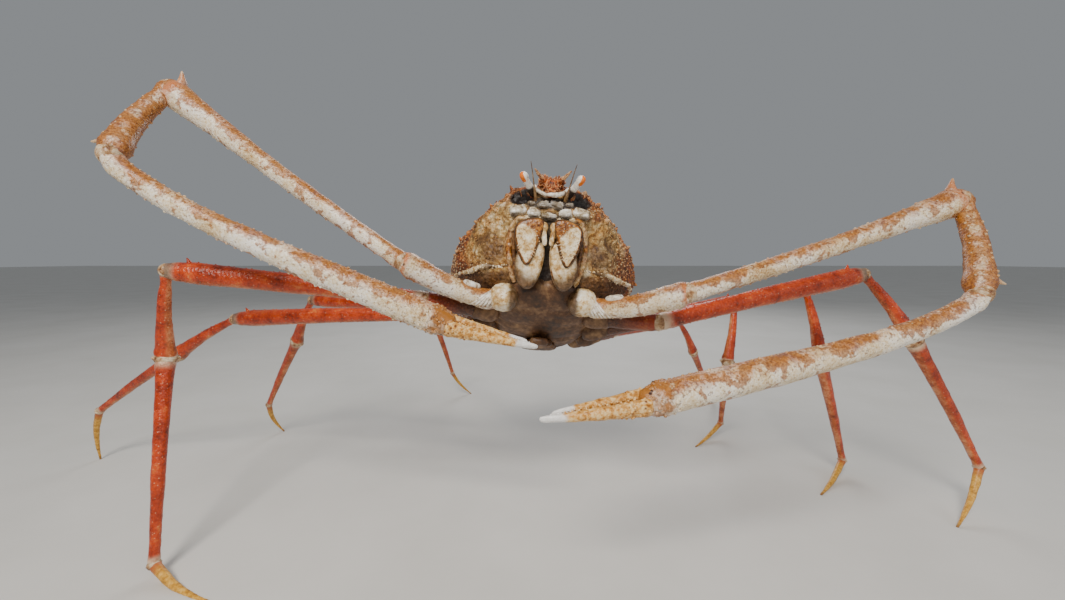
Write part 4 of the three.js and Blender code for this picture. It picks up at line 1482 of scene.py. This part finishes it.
def outer_limb(letter, side):
    """One third maxilliped: leaf, lower plate, palp and outer branch."""
    leaf_outline = [(side * x, z) for x, z in LEAF_OUTLINE]
    palm_outline = [(side * x, z) for x, z in PALM_OUTLINE]
    leaf_place = at_place(side * 30, -146, -50) @ (turned(MOUTH_TILT, "X") @ turned(side * 8, "Y"))
    untilt = leaf_place.inverted()

    def leaf_rim(p):
        inner = clamp((p.z / MM - 6 - 1.2 * side * p.x / MM) / 26)
        return clamp((8 - inside_by(p, leaf_outline)) / 4, 1.1) + 1.15 * inner

    def in_middle(co):
        p = untilt @ co
        away = (p.x / MM / 20) ** 2 + (p.z / MM / 34) ** 2
        return (away - 0.45) / 0.45 < 0.5

    def palp_rim(p):
        if 0.0075 < p.y < 0.0100:
            return 0.5
        return 0.6 * max(0, -side * p.x / MM / 4.4 - 0.3) if p.y > 0.01 else 0

    leaf = slab("leaf", leaf_outline, 5, 4)
    paint_points(leaf, "rim", leaf_rim)
    # Painted shade along the leaf's edges, where it meets the plates about it.
    paint_points(leaf, "dusk", lambda p: 0.7 * clamp((4.6 - inside_by(p, leaf_outline)) / 2))
    settle(leaf, leaf_place)
    grit = sow("grit", grit_on(leaf, -0.3, 0.34, (0.8, 1.6), (1, 1.7), in_middle), sharpness=1.5)
    paint_points(grit, "rim",
                 lambda p: 1 if noise.noise(p * 240) > 0.08 else leaf_rim(untilt @ p) - 0.12)
    lower = slab("lower_plate", palm_outline, 6, 5)
    paint_points(lower, "rim", lambda p: 0.7 * clamp((5.5 - inside_by(p, palm_outline)) / 3))
    # Painted shade: the lower plate darkens towards its foot and its outer side.
    paint_points(lower, "dusk", lambda p: min(
        0.9, max(0, (-p.z / MM - 6) / 34) + max(0, (side * p.x / MM - 4) / 40)))
    lower_turn = turned(MOUTH_TILT, "X") @ turned(side * -6, "Y")
    settle(lower, at_place(side * 25, -121, -73) @ lower_turn)
    palp = grow("palp", [(-6, 4), (-3, 7.2, 6.2, 0), (2, 8.2, 6.8, 0), (6, 7.4, 6, 0),
                         (8.4, 4.9, 4.4, 0), (10, 4.5, 4.2, 0), (18, 4.4, 4, 0),
                         (27, 3.9, 3.6, 0), (31, 2.4, 2.2, 0)], sides=14)
    smooth_over(palp, 1)
    paint_points(palp, "rim", palp_rim)
    settle(palp, between((side * 9, -161, -29), (side * 5.2, -150, -52)))
    outer = grow("outer_branch", [(0, 2.5, 3, 0), (6, 4.2, 4, 0), (30, 3.6, 1.4), (58, 2.8, 1),
                                  (66, 1.2)], sides=10)
    smooth_over(outer, 1)
    paint_points(outer, "rim", lambda p: 0.95)
    # Painted shade over the whole outer branch.
    paint_points(outer, "dusk", lambda p: 0.5)
    settle(outer, between((side * 47, -106, -84), (side * 55, -142, -30)))
    mouth = join([leaf, grit, lower, palp, outer], f"maxilliped_{letter}_shell")
    finish(settle(mouth, TRUNK), face_shell, "face", f"maxilliped_{letter}")


for letter, side in SIDES:
    outer_limb(letter, side)
print("mouth closed")

# %% [markdown]
# Above the mouth is the epistome, a creamy bar between the swollen white plates on which the
# antennae stand. Greyer lobes lie above them, and small knobs below. A raised rim runs down each
# side of the mouth frame, and a cord along the carapace's lower margin. The plates and rims sit on
# the shell's own front, so each place is found by a ray from in front of the face.

# %% Epistome, antennal plates and rims of the mouth frame
FACE_PLATES = [
    ("antennal_plate", (49, 2), 0, (13, 7, 7.5), 16, 0.8, 0.5),
    ("antennal_base", (24, -2), -1, (9.5, 6, 8), -14, 2.0, 0.6),
]
LOBES = [
    ("lobe", (10.5, 9), -2, (9.5, 6, 6), 18, 2.8, 0.6),
    ("lobe", (29, 12), -1, (6, 4, 3.2), -10, 1.8, 0.6),
]
SHADE_HEIGHTS = {"antennal_plate": 3.5, "lobe": 26}
KNOBS = [(18, -11, 5, 4), (35, -9, 4.4, 4)]
RIM_PATH = [(38, -9), (48, -8), (55, -14), (59, -26), (60, -40), (58, -56), (54, -70), (48, -84)]
MARGIN_PATH = [(54, -101), (76, -93), (101, -81), (126, -53), (155, -10), (165, 40), (160, 90)]


def on_face(x, z, out=0.0):
    """A place on the front of the shell, standing out from it by some millimetres."""
    return Vector((x, carapace_front(x, z) - out, z))


def face_pair(rows):
    """The plates of some rows, on both sides of the face."""
    return [ball_plate(name, on_face(side * x, z, out), reach, side * turn, rough_by, roundness)
            for side in (-1, 1) for name, (x, z), out, reach, turn, rough_by, roundness in rows]


def from_below(piece, height):
    """A paint that falls from 1 at the foot of a piece to 0 at a height, in millimetres."""
    low = min(vertex.co.z for vertex in piece.data.vertices)
    return lambda p: clamp(1 - (p.z - low) / (height * MM))


plates = face_pair(FACE_PLATES)
plates.append(ball_plate("epistome", on_face(0, -6, -1), (12, 5.5, 5), 0, 1.6, 0.6))
plates += face_pair(LOBES)
# Painted shade: each plate darkens towards its foot.
for piece in plates:
    shade_under = from_below(piece, SHADE_HEIGHTS.get(piece.name.split(".")[0], 8))
    paint_points(piece, "dusk", lambda p: 0.85 * shade_under(p))
finish(settle(join(plates, "antennal_plates"), TRUNK), plate_shell, "face")

knobs = [ball_plate("face_knob", on_face(side * x, z, 0.5), (wide, 4.6, tall), side * 20, 1.0)
         for side in (-1, 1) for x, z, wide, tall in KNOBS]
grit = []
for piece in knobs:
    brown_below, dark_below = from_below(piece, 3), from_below(piece, 5)
    # Painted shade: each knob browns and darkens towards its foot.
    paint_points(piece, "rim", lambda p: 0.2 + 0.6 * brown_below(p))
    paint_points(piece, "dusk", lambda p: 0.4 * dark_below(p))
    grit += grit_on(piece, -0.2, 0.06, (0.6, 1.3), (0.8, 1.3))
rims = []
for side in (-1, 1):
    path = eased_path([on_face(side * x, z, 2.0) for x, z in RIM_PATH], 28)
    rim_tube = tube("mouth_rim", path, lambda t: 6.4 - 2.4 * abs(2 * t - 1) ** 2)
    smooth_over(rim_tube, 1)
    rough(rim_tube, 9, 1.4)
    paint_points(rim_tube, "rim", lambda p: 0.8)
    rims.append(rim_tube)
for side in (-1, 1):
    path = []
    for x, y in MARGIN_PATH:
        near = Vector((side * x, y, margin_level(x))) * MM
        spot, outward = nearest(carapace, TRUNK @ near)
        path.append((untrunk @ (spot - outward * 0.0012)) / MM)
    margin = tube("lower_margin", eased_path(path, 40),
                  lambda t: 1.6 + 3.0 * math.sin(math.pi * t) ** 1.5 + 0.6 * math.sin(31 * t))
    smooth_over(margin, 1)
    rough(margin, 7, 1.6)
    paint_points(margin, "rim", lambda p: 0.34)
    # Painted shade: the cord darkens towards the mouth.
    paint_points(margin, "dusk", lambda p: clamp((112 - abs(p.x) / MM) / 34, 0.85))
    rims.append(margin)
    grit += grit_on(margin, math.inf, 0.10, (0.9, 2.0), (1.1, 1.9))
face = join([*knobs, *rims, sow("grit", grit, sharpness=1.4)], "face_plates")
finish(settle(face, TRUNK), face_shell, "face")

# %% White ridge under the rostrum: a bent tube that hangs like a U between the eye stalks
ridge_points = [(28 * t, -183 + 10 * abs(t), 15 + 24 * t * t)
                for t in (-1 + i / 7 for i in range(15))]
ridge = tube("rostral_ridge", ridge_points, lambda t: 3.2 + 0.8 * math.cos(9 * t))
rough(ridge, 5, 0.9)
finish(settle(ridge, TRUNK), fold_skin, "face")

# %% [markdown]
# The eyes stand on short jointed stalks that fold back into the orbits. The cornea is a smooth
# orange cap. Beside each eye is an antenna of three thick joints and a thin lash.

# %% Eyes and antennae
eye_model = grow("eye", [(-10, 6), (0, 6.2), (7, 5.6), (9, 6.0), (15, 5.3, 0.2), (22, 5.2, 0.3),
                         (27, 5.8, 0.3), (31, 6.5, 0.3), (36, 6.4, 0.3), (39, 5.0, 0.3),
                         (41, 2.6, 0.3)], sides=18)
smooth_over(eye_model, 2)
lash_model = grow("antenna", [(-6, 3.6), (0, 3.9), (7, 3.0), (9, 3.3), (16, 2.3), (18, 2.6),
                              (25, 1.6), (27, 1.2), (38, 1.0, 0.8), (52, 0.8, 1.6),
                              (64, 0.6, 1.2), (70, 0.4)], sides=10)
smooth_over(lash_model, 1)
paint_points(lash_model, "rim", lambda p: 0.8)
# Painted shade darkens the whole antenna.
paint_points(lash_model, "dusk", lambda p: 0.42)
for letter, side in SIDES:
    eye = own_copy(eye_model, f"eye_{letter}_shell")
    paint_points(eye, "cornea",
                 lambda p: clamp((p.y / MM - 25) / 4) * clamp((-side * p.x / MM + 3.6) / 3))
    # Painted shade: the foot of each stalk is dark, down in its socket.
    paint_points(eye, "dusk", lambda p: clamp((13 - p.y / MM) / 3, 0.97))
    stand = between((side * 30, -168, 33), (side * 44, -200, 33))
    finish(settle(eye, TRUNK @ stand), eye_shell, "eye", f"eye_{letter}")
    antenna = own_copy(lash_model, f"antenna_{letter}_shell")
    stand = between((side * 22, -161, 18), (side * 34, -226, 36))
    finish(settle(antenna, TRUNK @ stand), face_shell, "face", f"antenna_{letter}")

# %% Clearing away the models that were only copied
for model in [*models.values(), upper_finger, lower_finger, joint_model, coxa_model, eye_model,
              lash_model, spine_model]:
    bpy.data.objects.remove(model)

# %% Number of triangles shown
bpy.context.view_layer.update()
shown = [o for o in bpy.data.objects if o.type == "MESH" and not o.hide_render]
print("triangles shown:", sum(len(p.vertices) - 2 for o in shown for p in o.data.polygons))
